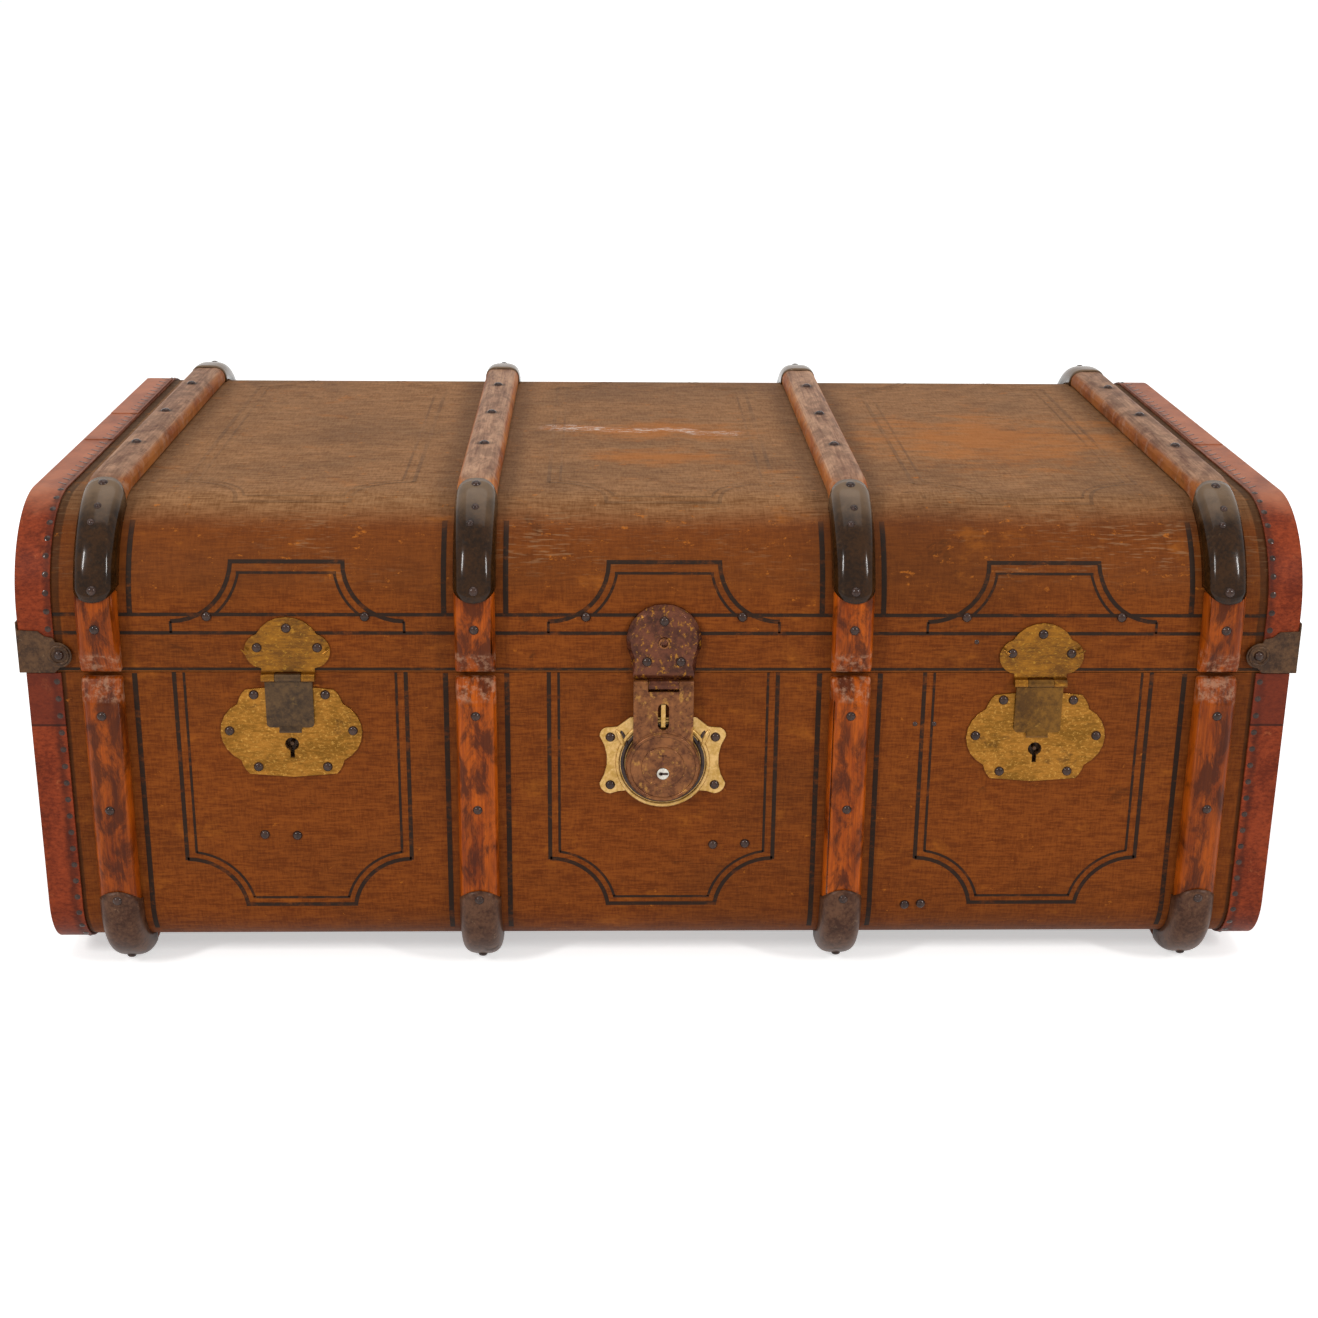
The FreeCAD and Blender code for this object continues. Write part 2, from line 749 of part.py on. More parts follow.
def make_clamps():
    clamp, shoe = lid_clamp(), base_shoe()
    keep(row_of_four("lid_front_clamps", [clamp]))
    keep(row_of_four("lid_back_clamps", [mirror("lid_back_clamp", clamp, across_y)]))
    keep(row_of_four("base_front_shoes", [shoe]))
    keep(row_of_four("base_back_shoes", [mirror("base_back_shoe", shoe, across_y)]))


# Rivets

hexagon_shares = ring_shares(6)


def head(label, radius, height):
    """A rivet's head that faces forwards, with six tapered sides."""
    body = new_body(label)
    outline = [(radius * x, radius * y) for x, y in hexagon_shares]
    feature = pad(body, draw(new_sketch(body, "XZ"), outline), height)
    bind(feature, "TaperAngle", -s.head_taper)
    return body


def rivets(label, source, carrier, places, **where):
    """Rivet heads at these places, all at one distance in front of the middle."""
    members = [group(f"{label}_{number}", [source], x=x, y=-carrier - seat, z=z)
               for number, (x, z) in enumerate(places, 1)]
    return group(label, members, **where)


# Hinged hardware


def knuckle(body, middle, width, back, sheet, radius, height, edge, side, up):
    """A rolled knuckle: its sheet comes from the plate's edge and turns round the hinge's line."""
    over = height + radius * up
    path = [(back * side, edge)]
    for y_share, z_share in ring_shares(small_flats)[:small_flats * 3 // 4 + 1]:
        path.append(((back + radius - radius * y_share) * side, height - radius * z_share * up))
    path += [((back + sheet) * side, over), ((back + sheet) * side, edge)]
    pad(body, draw(new_sketch(body, "YZ", lift=middle), path), width, True)


def bore_line(body, y, z, radius, length):
    """A hole along the hinge's line."""
    hole = draw_ring(new_sketch(body, "YZ"), y, z, radius + s.pin_play)
    pocket(body, hole, length + s.overrun, True)


def hinge_pin(label, line_y, line_z, radius, length, **where):
    body = new_body(label)
    pad(body, draw_circle(new_sketch(body, "YZ"), line_y, line_z, radius), length, True)
    return place(body, **where)


# Side locks

hasp_plate_shares = [(0.306, 0), (0.306, 0.07), (0.345, 0.69, 0.80), (0, 1, 0.28)]
lock_plate_shares = [(0, 0), (0.31, 0.035, 0.04), (0.365, 0.185, 0.15), (0.37, 0.80, 0.62),
                     (0.31, 0.955, 0.15), (0, 1, 0.03)]
hasp_rivet_shares = [(0, 0.80), (-0.345, 0.445), (0.345, 0.445)]
lock_rivet_shares = [(-0.25, 0.90), (0.25, 0.90), (-0.435, 0.51), (0.435, 0.51), (-0.245, 0.115),
                     (0.245, 0.115)]
side_back = front + s.leaf_play
side_axis_y = -side_back - s.side_knuckle_radius
side_reach = s.side_knuckle_radius + s.knuckle_play
hasp_plate_low = s.side_axis_height + side_reach
lock_front = front + seat + s.plate_sheet
flap_back = lock_front + s.flap_play


def hasp_plate(label):
    """The shaped plate on the lid, with a knuckle at each side of its neck."""
    body = new_body(label)
    height = s.hasp_plate_high - hasp_plate_low
    half = shaped(hasp_plate_shares, s.hasp_plate_width, height, hasp_plate_low)
    sketch = new_sketch(body, "XZ", lift=side_back)
    pad(body, draw(sketch, in_flats(mirrored(half))), s.plate_sheet)
    middle = s.side_hinge_width / 2 - s.side_knuckle_split / 2
    for side in (-1, 1):
        knuckle(body, middle * side, s.side_knuckle_split, side_back, s.plate_sheet,
                s.side_knuckle_radius, s.side_axis_height, hasp_plate_low, -1, 1)
    bore_line(body, side_axis_y, s.side_axis_height, s.side_pin_radius, s.side_hinge_width)
    return body


def hasp_flap(label):
    """The flap that hangs from the middle knuckle over the lock, with a lip to lift it by."""
    body = new_body(label)
    tongue = s.side_hinge_width / 2 - s.side_knuckle_split - s.knuckle_play
    wide, low, corner = s.flap_width / 2, s.flap_low, s.flap_corner
    shoulder = s.side_axis_height - side_reach
    half = [(0, low), (wide - corner, low), (wide, low + corner, quarter), (wide, shoulder),
            (tongue, shoulder), (tongue, s.side_axis_height)]
    pad(body, draw(new_sketch(body, "XZ", lift=flap_back), mirrored(half)), s.flap_sheet)
    barrel = draw_ring(new_sketch(body, "YZ"), side_axis_y, s.side_axis_height, s.side_knuckle_radius)
    pad(body, barrel, tongue * 2, True)
    bore_line(body, side_axis_y, s.side_axis_height, s.side_pin_radius, tongue * 2)
    skin, curl = s.flap_sheet, turn(s.flap_lip_curl)
    lip_y, lip_z = -flap_back - s.flap_lip_out, low - s.flap_lip_drop
    path = [(-flap_back, low + skin), (-flap_back, low), (lip_y, lip_z, -curl),
            (lip_y - skin / 2, lip_z + skin), (-flap_back - skin, low + skin, curl)]
    pad(body, draw(new_sketch(body, "YZ"), path), s.flap_lip_width, True)
    return body


def cut_keyhole(body, face, depth):
    """The keyhole: a round and the slot below it."""
    slot = s.keyhole_slot / 2
    eye = new_sketch(body, "XZ", lift=face + s.overrun)
    pocket(body, draw_ring(eye, 0, s.keyhole_height, s.keyhole_radius), depth + s.overrun)
    tail = new_sketch(body, "XZ", lift=face + s.overrun)
    draw(tail, box_path(-slot, s.keyhole_height - s.keyhole_tail, slot, s.keyhole_height))
    pocket(body, tail, depth + s.overrun)


def lock_plate(label):
    body = new_body(label)
    half = shaped(lock_plate_shares, s.lock_plate_width, s.lock_plate_height, s.lock_plate_low)
    sketch = new_sketch(body, "XZ", lift=front + seat)
    pad(body, draw(sketch, in_flats(mirrored(half))), s.plate_sheet)
    cut_keyhole(body, lock_front, s.plate_sheet + s.overrun)
    return body


def lock_case(label):
    """The lock's body, let into the front board behind the plate, with the keyhole's well and its pin."""
    body = new_body(label)
    half_width, half_height = s.lock_case_width / 2, s.lock_case_height / 2
    outline = box_path(-half_width, s.keyhole_height - half_height, half_width,
                       s.keyhole_height + half_height)
    pad(body, draw(new_sketch(body, "XZ", lift=front - s.lock_case_thick), outline), s.lock_case_thick)
    cut_keyhole(body, front, s.keyhole_depth)
    post = new_sketch(body, "XZ", lift=front - s.keyhole_depth)
    pad(body, draw_ring(post, 0, s.keyhole_height, s.keyhole_pin_radius), s.keyhole_depth)
    return body


def share_places(table, width, height, low):
    return [(width * x if x else 0, low + height * z) for x, z in table]


def make_side_locks(rivet):
    hasps, plates, cases, lid_rivets, base_rivets, pins = [], [], [], [], [], []
    for side, (middle, drop) in side_locks.items():
        where = {"x": middle, "z": drop}
        hasps.append(place(hasp_plate(f"hasp_plate_{side}"), **where))
        keep(place(hasp_flap(f"hasp_flap_{side}"), **where))
        plates.append(place(lock_plate(f"lock_plate_{side}"), **where))
        cases.append(place(lock_case(f"lock_case_{side}"), **where))
        pins.append(hinge_pin(f"hasp_pin_{side}", side_axis_y, s.side_axis_height, s.side_pin_radius,
                              s.side_hinge_width, **where))
        places = share_places(hasp_rivet_shares, s.hasp_plate_width,
                              s.hasp_plate_high - hasp_plate_low, hasp_plate_low)
        lid_rivets.append(rivets(f"hasp_rivets_{side}", rivet, side_back + s.plate_sheet, places, **where))
        places = share_places(lock_rivet_shares, s.lock_plate_width, s.lock_plate_height,
                              s.lock_plate_low)
        base_rivets.append(rivets(f"lock_rivets_{side}", rivet, lock_front, places, **where))
    keep(group("hasp_plates", hasps), group("lock_plates", plates), group("lock_cases", cases))
    return lid_rivets, base_rivets, pins


# Centre lock

centre_back = front + s.leaf_play
centre_axis_y = -centre_back - s.centre_knuckle_radius
centre_reach = s.centre_knuckle_radius + s.knuckle_play
dome_low = s.centre_axis_height + centre_reach
dome_front = centre_back + s.dome_height
hasp_half = s.hasp_disc_radius * cosine(s.hasp_shoulder_angle)
centre_plate_front = front + seat + s.centre_plate_sheet
strap_front = centre_back + s.centre_knuckle_radius * 2
disc_back = centre_plate_front + s.hasp_play
disc_front = strap_front + s.hasp_disc_rise
boss_front = disc_front + s.hasp_boss_rise
centre_plate_shares = [(0, 0), (0.28, 0.17, 0.215), (0.415, 0.135, -0.1), (0.5, 0.255, 0.40),
                       (0.5, 0.79, -0.29), (0.45, 0.885, 0.35), (0.36, 0.895), (0.26, 1), (0, 1)]
centre_rivet_shares = [(-0.415, 0.78), (0.415, 0.78), (-0.415, 0.237), (0.415, 0.237)]
dome_rivet_shares = [(0, 0.57), (-0.45, -0.56), (0.45, -0.56)]
neck_middle = hasp_half - s.centre_knuckle_split - s.knuckle_play


def centre_hasp_plate():
    """The pressed dome on the lid, which slopes down to its neck and the middle knuckle."""
    body = new_body("centre_hasp_plate")
    angle, over = s.dome_shoulder_angle, s.overrun
    half = [(hasp_half, dome_low),
            (s.dome_radius * cosine(angle), s.dome_centre - s.dome_radius * sine(angle)),
            (0, s.dome_centre + s.dome_radius, turn(angle + 90))]
    sketch = new_sketch(body, "XZ", lift=centre_back)
    dome = pad(body, draw(sketch, in_flats(mirrored(half))), s.dome_height)
    soften(body, dome, dome_front, s.dome_soften)
    slope = s.dome_slope_depth / s.dome_slope_length
    path = [(-dome_front - over, dome_low - over),
            (-dome_front + s.dome_slope_depth + slope * over, dome_low - over),
            (-dome_front - over, dome_low + s.dome_slope_length + over / slope)]
    pocket(body, draw(new_sketch(body, "YZ"), path), hasp_half * 2 + over * 2, True)
    knuckle(body, None, neck_middle * 2, centre_back, s.plate_sheet, s.centre_knuckle_radius,
            s.centre_axis_height, dome_low, -1, 1)
    bore_line(body, centre_axis_y, s.centre_axis_height, s.centre_pin_radius, hasp_half * 2)
    dimple = new_sketch(body, "XZ", lift=dome_front + over)
    draw_ring(dimple, 0, s.dome_centre, s.dome_dimple_radius)
    pocket(body, dimple, over + s.dome_dimple_depth)
    return body


def centre_hasp():
    """The slotted strap and the round lock at its foot, hung from a knuckle at each side."""
    body = new_body("centre_hasp")
    centre = s.hasp_disc_centre
    shoulder = s.centre_axis_height - centre_reach
    inner = hasp_half - s.centre_knuckle_split
    strap_back = strap_front - s.hasp_sheet
    disc = draw_ring(new_sketch(body, "XZ", lift=disc_back), 0, centre, s.hasp_disc_radius, large_flats)
    lock = pad(body, disc, disc_front - disc_back)
    soften(body, lock, disc_front, s.hasp_soften)
    strap = box_path(-hasp_half, centre, hasp_half, shoulder)
    pad(body, draw(new_sketch(body, "XZ", lift=strap_back), strap), s.hasp_sheet)
    for side in (-1, 1):
        left, right = sorted((inner * side, hasp_half * side), key=value_of)
        ear = box_path(left, shoulder, right, s.centre_axis_height)
        pad(body, draw(new_sketch(body, "XZ", lift=strap_back), ear), s.hasp_sheet)
        lift = (hasp_half - s.centre_knuckle_split / 2) * side
        barrel = draw_ring(new_sketch(body, "YZ", lift=lift), centre_axis_y, s.centre_axis_height,
                           s.centre_knuckle_radius)
        pad(body, barrel, s.centre_knuckle_split, True)
    bore_line(body, centre_axis_y, s.centre_axis_height, s.centre_pin_radius, hasp_half * 2)
    slot = s.slot_width / 2
    path = mirrored([(0, s.slot_low), (slot, s.slot_low + slot, quarter), (slot, s.slot_high - slot),
                     (0, s.slot_high, quarter)])
    hole = draw(new_sketch(body, "XZ", lift=strap_front + s.overrun), path)
    pocket(body, hole, s.hasp_sheet + s.overrun * 2)
    boss = draw_ring(new_sketch(body, "XZ", lift=disc_front), 0, centre, s.hasp_boss_radius, large_flats)
    pad(body, boss, s.hasp_boss_rise)
    well = new_sketch(body, "XZ", lift=boss_front + s.overrun)
    draw_circle(well, 0, s.key_plug_height, s.key_plug_radius + s.key_plug_play)
    pocket(body, well, s.overrun + s.key_plug_depth + s.key_plug_play)
    return body


def key_plug():
    body = new_body("key_plug")
    sketch = new_sketch(body, "XZ", lift=boss_front - s.key_plug_depth)
    draw_circle(sketch, 0, s.key_plug_height, s.key_plug_radius)
    pad(body, sketch, s.key_plug_depth + s.key_plug_proud)
    long, wide = s.key_slot_length / 2, s.key_slot_width / 2
    slot = new_sketch(body, "XZ", lift=boss_front + s.key_plug_proud + s.overrun)
    draw(slot, box_path(-long, s.key_plug_height - wide, long, s.key_plug_height + wide))
    pocket(body, slot, s.key_slot_depth + s.overrun)
    return body


def centre_lock_plate():
    """The waisted plate behind the round lock."""
    body = new_body("centre_lock_plate")
    half = shaped(centre_plate_shares, s.centre_plate_width, s.centre_plate_height, s.centre_plate_low)
    sketch = new_sketch(body, "XZ", lift=front + seat)
    pad(body, draw(sketch, in_flats(mirrored(half))), s.centre_plate_sheet)
    return body


def centre_staple():
    """The bent bar that stands out of the plate behind the hasp's slot."""
    body = new_body("centre_staple")
    root, bar, cut = centre_plate_front + seat, s.staple_bar, s.staple_bend
    crown = strap_front - s.hasp_sheet - s.staple_space
    path = [(-root, s.slot_low), (-crown + cut, s.slot_low), (-crown, s.slot_low + cut),
            (-crown, s.slot_high - cut), (-crown + cut, s.slot_high), (-root, s.slot_high),
            (-root, s.slot_high - bar), (-crown + bar, s.slot_high - bar),
            (-crown + bar, s.slot_low + bar), (-root, s.slot_low + bar)]
    pad(body, draw(new_sketch(body, "YZ"), path), bar, True)
    return body


def make_centre_lock(rivet):
    keep(centre_hasp_plate(), centre_hasp(), key_plug(), centre_lock_plate(), centre_staple())
    pin = hinge_pin("centre_hasp_pin", centre_axis_y, s.centre_axis_height, s.centre_pin_radius,
                    hasp_half * 2)
    places = share_places(dome_rivet_shares, s.dome_radius, s.dome_radius, s.dome_centre)
    lid_rivets = rivets("dome_rivets", rivet, dome_front, places)
    places = share_places(centre_rivet_shares, s.centre_plate_width, s.centre_plate_height,
                          s.centre_plate_low)
    base_rivets = rivets("centre_plate_rivets", rivet, centre_plate_front, places)
    return lid_rivets, base_rivets, pin


# Corner brackets of the lid

bracket_front_shares = [(0, 0), (0, 0.84), (0.40, 0.82), (0.52, 0.72), (0.68, 0.68), (0.71, 0.60),
                        (1, 0.35, 0.42), (0.76, 0.10, 0.42), (0.66, 0)]
bracket_end_shares = [(0, 0), (0.9, 0), (0.9, 0.3), (0.25, 1), (0, 1)]
bracket_nail_shares = (0.76, 0.35)
bracket_under = binding_outer + seat


def corner_bracket(label):
    """A bracket bent round the lid's lower corner, over the binding."""
    body = new_body(label)
    edge_x = s.lid_length / 2 + bracket_under + s.bracket_sheet
    edge_y = front + bracket_under + s.bracket_sheet
    width, height = s.bracket_width, s.bracket_height
    leg = [(edge_x - width * x, lid_rim + height * z, *rest) for x, z, *rest in bracket_front_shares]
    pad(body, draw(new_sketch(body, "XZ", lift=front + bracket_under), in_flats(leg)), s.bracket_sheet)
    leg = [(-edge_y + width * y, lid_rim + height * z) for y, z in bracket_end_shares]
    pad(body, draw(new_sketch(body, "YZ", lift=s.lid_length / 2 + bracket_under), leg), s.bracket_sheet)
    return body


def make_brackets(rivet):
    right = corner_bracket("front_bracket_right")
    front_pair = group("front_brackets", [right, mirror("front_bracket_left", right, across_x)])
    keep(group("lid_corner_brackets", [front_pair, mirror("back_brackets", front_pair, across_y)]))
    out = bracket_under + s.bracket_sheet
    x_share, z_share = bracket_nail_shares
    stud = group("bracket_nail_right", [rivet], y=-front - out - seat,
                 x=s.lid_length / 2 + out - s.bracket_width * x_share,
                 z=lid_rim + s.bracket_height * z_share)
    pair = group("bracket_nails_front", [stud, mirror("bracket_nail_left", stud, across_x)])
    return [pair, mirror("bracket_nails_back", pair, across_y)]


# Back hinges

hinge_back = front + s.leaf_play
hinge_axis_y = hinge_back + s.hinge_knuckle_radius
hinge_axis_z = s.seam_height + s.seam_gap / 2


def hinge_leaf(label, up):
    """One leaf: the lid's has the middle knuckle, the base's the outer two."""
    body = new_body(label)
    edge = hinge_axis_z + (s.hinge_knuckle_radius + s.knuckle_play) * up
    far = edge + s.hinge_leaf_height * up
    low, high = sorted((edge, far), key=value_of)
    half = s.hinge_width / 2
    plate = new_sketch(body, "XZ", lift=-hinge_back - s.hinge_sheet)
    pad(body, draw(plate, box_path(-half, low, half, high)), s.hinge_sheet)
    if up > 0:
        parts = [(None, s.hinge_width - (s.hinge_knuckle_split + s.knuckle_play) * 2)]
    else:
        parts = [((half - s.hinge_knuckle_split / 2) * side, s.hinge_knuckle_split) for side in (-1, 1)]
    for middle, width in parts:
        knuckle(body, middle, width, hinge_back, s.hinge_sheet, s.hinge_knuckle_radius, hinge_axis_z,
                edge, 1, up)
    bore_line(body, hinge_axis_y, hinge_axis_z, s.hinge_pin_radius, s.hinge_width)
    return body


def make_hinges():
    lid_leaf, base_leaf = hinge_leaf("lid_leaf_pattern", 1), hinge_leaf("base_leaf_pattern", -1)
    pin = hinge_pin("hinge_pin_pattern", hinge_axis_y, hinge_axis_z, s.hinge_pin_radius, s.hinge_width)
    for label, source in (("lid_hinge_leaves", lid_leaf), ("base_hinge_leaves", base_leaf),
                          ("hinge_pins", pin)):
        pair = [group(f"{label}_{number}", [source], x=s.hinge_place * side)
                for number, side in enumerate((-1, 1), 1)]
        keep(group(label, pair))


# End handles

handle_wall = s.base_length / 2 + seat
handle_pivot_x = handle_wall + s.handle_plate_sheet + s.handle_play + s.handle_width / 2
ear_inner = s.handle_width / 2 + s.handle_play
ear_outer = ear_inner + s.handle_ear


def handle_bracket():
    """A plate on the end wall with a pair of ears and the pin that the handle turns on."""
    body = new_body("handle_bracket_pattern")
    pivot, span, eye = s.handle_pivot_height, s.handle_half_span, s.handle_eye_radius
    low, high = pivot - s.handle_plate_height / 2, pivot + s.handle_plate_height / 2
    plate = new_sketch(body, "YZ", lift=handle_wall)
    pad(body, draw(plate, box_path(span - ear_outer, low, span + ear_outer, high)), s.handle_plate_sheet)
    tip_shares = [(z, -y) for y, z in ring_shares(small_flats)[:small_flats // 2 + 1]]
    ear = [(handle_wall, pivot - eye)]
    ear += [(handle_pivot_x + eye * x, pivot + eye * z) for x, z in tip_shares]
    ear.append((handle_wall, pivot + eye))
    for reach in (ear_outer - s.handle_ear, -ear_outer):
        pad(body, draw(new_sketch(body, "XZ", lift=-span + reach), ear), s.handle_ear)
    pin = new_sketch(body, "XZ", lift=-span)
    draw_circle(pin, handle_pivot_x, pivot, s.handle_pin_radius)
    pad(body, pin, ear_outer * 2, True)
    return body


def low_corner(reach, low, radius):
    """A lower right corner, from below to the side, rounded in three flats."""
    corner_shares = ring_shares(12)[3::-1]
    return [(reach - radius + radius * x, low + radius - radius * y) for x, y in corner_shares]


def handle_bail(label):
    """The handle, hanging from its two pins."""
    body = new_body(label)
    span, wide, corner = s.handle_half_span, s.handle_width / 2, s.handle_corner
    pivot = s.handle_pivot_height
    low = pivot - s.handle_drop
    inner = corner - s.handle_width
    half = [(0, low)] + low_corner(span + wide, low, corner)
    crown = wide - s.handle_play * 2
    half += [(span + wide * y, pivot + crown * z) for y, z in ring_shares(small_flats)[:small_flats // 2 + 1]]
    half += low_corner(span - wide, low + s.handle_width, inner)[::-1] + [(0, low + s.handle_width)]
    sketch = draw(new_sketch(body, "YZ", lift=handle_pivot_x), mirrored(half))
    pad(body, sketch, s.handle_thick, True)
    reach = span + wide + s.overrun
    hole = new_sketch(body, "XZ", lift=reach)
    draw_ring(hole, handle_pivot_x, pivot, s.handle_pin_radius + s.pin_play)
    pocket(body, hole, reach * 2)
    return body


def make_handles():
    bracket = handle_bracket()
    right = group("handle_loops_right", [bracket, mirror("handle_bracket_front", bracket, across_y)])
    keep(group("handle_loops", [right, mirror("handle_loops_left", right, across_x)]))
    handle = handle_bail("handle_right")
    keep(handle, mirror("handle_left", handle, across_x))


# Rivets in the painted front

lid_rivet_places = [(-s.left_lock_place, -1), (-s.left_lock_place, 1), (0, -1), (0, 1),
                    (s.right_lock_place, -1), (s.right_lock_place, 1)]
lid_rivet_spread_share = 0.9
base_rivet_shares = [(-0.3227, 0.470), (-0.2965, 0.467), (0.042, 0.4335), (0.0682, 0.4368),
                     (0.2025, 0.2255), (0.2158, 0.229)]


def make_rivets():
    rivet = head("rivet_pattern", s.rivet_radius, s.rivet_height)
    lid_side, base_side, pins = make_side_locks(rivet)
    lid_centre, base_centre, centre_pin = make_centre_lock(rivet)
    brackets = make_brackets(rivet)
    spread = s.hasp_plate_width * lid_rivet_spread_share
    lid_front = rivets("lid_front_rivets", rivet, front,
                       [(middle + spread * side, s.hasp_plate_high) for middle, side in lid_rivet_places])
    base_front = rivets("base_front_rivets", rivet, front,
                        share_places(base_rivet_shares, s.base_length, s.seam_height, 0))
    keep(group("lid_rivets", lid_side + [lid_centre, lid_front] + brackets))
    keep(group("base_rivets", base_side + [base_centre, base_front]))
    keep(group("hasp_pins", pins + [centre_pin]))


make_boards("base")
make_boards("lid")
make_binding("base")
make_binding("lid")
make_lip()
make_slats()
make_clamps()
make_rivets()
make_hinges()
make_handles()
doc.recompute()

failed = [thing.Label for thing in doc.Objects if {"Invalid", "Error"} & set(thing.State)]
for node in nodes:
    if node.Shape.isNull() or not node.Shape.isValid():
        failed.append(node.Label)
if failed:
    raise RuntimeError("these did not build: " + ", ".join(sorted(set(failed))))

os.makedirs("parts", exist_ok=True)
for node in nodes:
    node.Shape.exportStep(f"parts/{node.Label}.step")
    box = node.Shape.BoundBox
    print(node.Label, len(node.Shape.Solids), round(node.Shape.Volume),
          [round(n, 1) for n in (box.XMin, box.YMin, box.ZMin, box.XMax, box.YMax, box.ZMax)])
print(len(nodes), "nodes")
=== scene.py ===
import math

import bmesh
import bpy
from mathutils import Matrix, Vector


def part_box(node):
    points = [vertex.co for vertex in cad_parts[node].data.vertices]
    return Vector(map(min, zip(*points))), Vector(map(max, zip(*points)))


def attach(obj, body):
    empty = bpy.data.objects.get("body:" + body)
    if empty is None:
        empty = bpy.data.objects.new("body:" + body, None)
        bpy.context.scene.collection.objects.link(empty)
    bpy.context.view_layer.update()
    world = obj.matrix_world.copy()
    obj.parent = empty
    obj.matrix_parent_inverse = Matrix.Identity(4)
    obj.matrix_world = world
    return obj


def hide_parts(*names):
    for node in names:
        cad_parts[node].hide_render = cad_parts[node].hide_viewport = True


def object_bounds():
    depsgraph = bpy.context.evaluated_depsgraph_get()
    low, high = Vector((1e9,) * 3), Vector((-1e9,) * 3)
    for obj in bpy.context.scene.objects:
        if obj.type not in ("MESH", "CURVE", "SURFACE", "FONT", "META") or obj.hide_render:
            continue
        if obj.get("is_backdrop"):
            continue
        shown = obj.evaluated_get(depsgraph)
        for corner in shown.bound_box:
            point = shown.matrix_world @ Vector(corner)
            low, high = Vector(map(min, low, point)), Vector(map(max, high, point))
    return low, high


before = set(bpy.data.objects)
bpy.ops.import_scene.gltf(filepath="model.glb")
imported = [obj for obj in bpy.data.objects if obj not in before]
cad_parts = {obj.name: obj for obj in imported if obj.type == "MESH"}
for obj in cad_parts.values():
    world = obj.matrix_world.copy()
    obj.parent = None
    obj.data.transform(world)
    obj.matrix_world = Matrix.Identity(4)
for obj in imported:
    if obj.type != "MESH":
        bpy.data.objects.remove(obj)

# Blender's own start objects go, so that the boxes hold the trunk alone
for name in ("Cube", "Light", "Camera"):
    if name in bpy.data.objects:
        bpy.data.objects.remove(bpy.data.objects[name])
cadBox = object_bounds()

mm = 0.001
up, right, back = Vector((0, 0, 1)), Vector((1, 0, 0)), Vector((0, 1, 0))
slatPlaces = (-400 * mm, -134.6 * mm, 134.6 * mm, 400 * mm)


# Node helpers

def toLinear(text):
    # a colour written as six hex figures, as a screen shows it
    channels = [int(text[i:i + 2], 16) / 255 for i in (0, 2, 4)]
    return tuple(c / 12.92 if c <= 0.04045 else ((c + 0.055) / 1.055) ** 2.4 for c in channels) + (1.0,)


class Value:
    # what a node puts out, so that sums with it are written as sums
    def __init__(self, tree, socket):
        self.tree, self.socket = tree, socket

    def __add__(self, other):
        return addNode("sum", self, other)

    def __sub__(self, other):
        return addNode("less", self, other)

    def __mul__(self, other):
        return addNode("product", self, other)

    def __abs__(self):
        return addNode("size", self)


# word: Blender's node, the sockets that values fill in turn, the node's settings, and what is taken from it
# a ramp is 0 below its low value and 1 above its high one, or the other way round if low is the larger
nodeWords = {
    "sum": ("Math", (0, 1), {"operation": "ADD"}, 0),
    "less": ("Math", (0, 1), {"operation": "SUBTRACT"}, 0),
    "product": ("Math", (0, 1), {"operation": "MULTIPLY"}, 0),
    "size": ("Math", (0,), {"operation": "ABSOLUTE"}, 0),
    "larger": ("Math", (0, 1), {"operation": "MAXIMUM"}, 0),
    "spaced": ("Math", (0, 1), {"operation": "PINGPONG"}, 0),
    "ramp": ("MapRange", ("Value", "From Min", "From Max"), {"interpolation_type": "SMOOTHSTEP"}, 0),
    "mix": ("Mix", (0, 6, 7), {"data_type": "RGBA"}, 2),
    "between": ("Mix", (0, 2, 3), {}, 0),
    "object place": ("TexCoord", (), {}, "Object"),
    "axes": ("SeparateXYZ", (0,), {}, (0, 1, 2)),
    "joined": ("CombineXYZ", (0, 1), {}, 0),
    "from": ("VectorMath", (0, 1), {"operation": "SUBTRACT"}, 0),
    "times": ("VectorMath", (0, 1), {"operation": "MULTIPLY"}, 0),
    "times and moved": ("VectorMath", (0, 1, 2), {"operation": "MULTIPLY_ADD"}, 0),
    "along": ("VectorMath", (0, 1), {"operation": "DOT_PRODUCT"}, "Value"),
    "length": ("VectorMath", (0,), {"operation": "LENGTH"}, "Value"),
    "noise": ("TexNoise", ("Vector", "Scale", "Detail", "Roughness", "Distortion"), {}, 0),
    "bump": ("Bump", ("Height", "Distance", "Strength"), {}, 0),
    "rays": ("LightPath", (), {}, ("Is Camera Ray", "Is Transmission Ray", "Is Glossy Ray")),
    "background": ("Background", ("Color", "Strength"), {}, 0),
    "mixed shaders": ("MixShader", (0, 1, 2), {}, 0),
}


def setSocket(tree, socket, value):
    # what other nodes put out is linked, and a text is a colour
    if isinstance(value, Value):
        tree.links.new(value.socket, socket)
    else:
        socket.default_value = toLinear(value) if isinstance(value, str) else value


def addNode(word, *values, tree=None):
    # a word that isn't in the table is Blender's own, and gives the node itself
    kind, sockets, settings, taken = nodeWords.get(word, (word, (), {}, None))
    tree = tree or next(value.tree for value in values if isinstance(value, Value))
    node = tree.nodes.new("ShaderNode" + kind)
    for name, value in settings.items():
        setattr(node, name, value)
    for socket, value in zip(sockets, values):
        setSocket(tree, node.inputs[socket], value)
    if isinstance(taken, tuple):
        return [Value(tree, node.outputs[output]) for output in taken]
    return node if taken is None else Value(tree, node.outputs[taken])


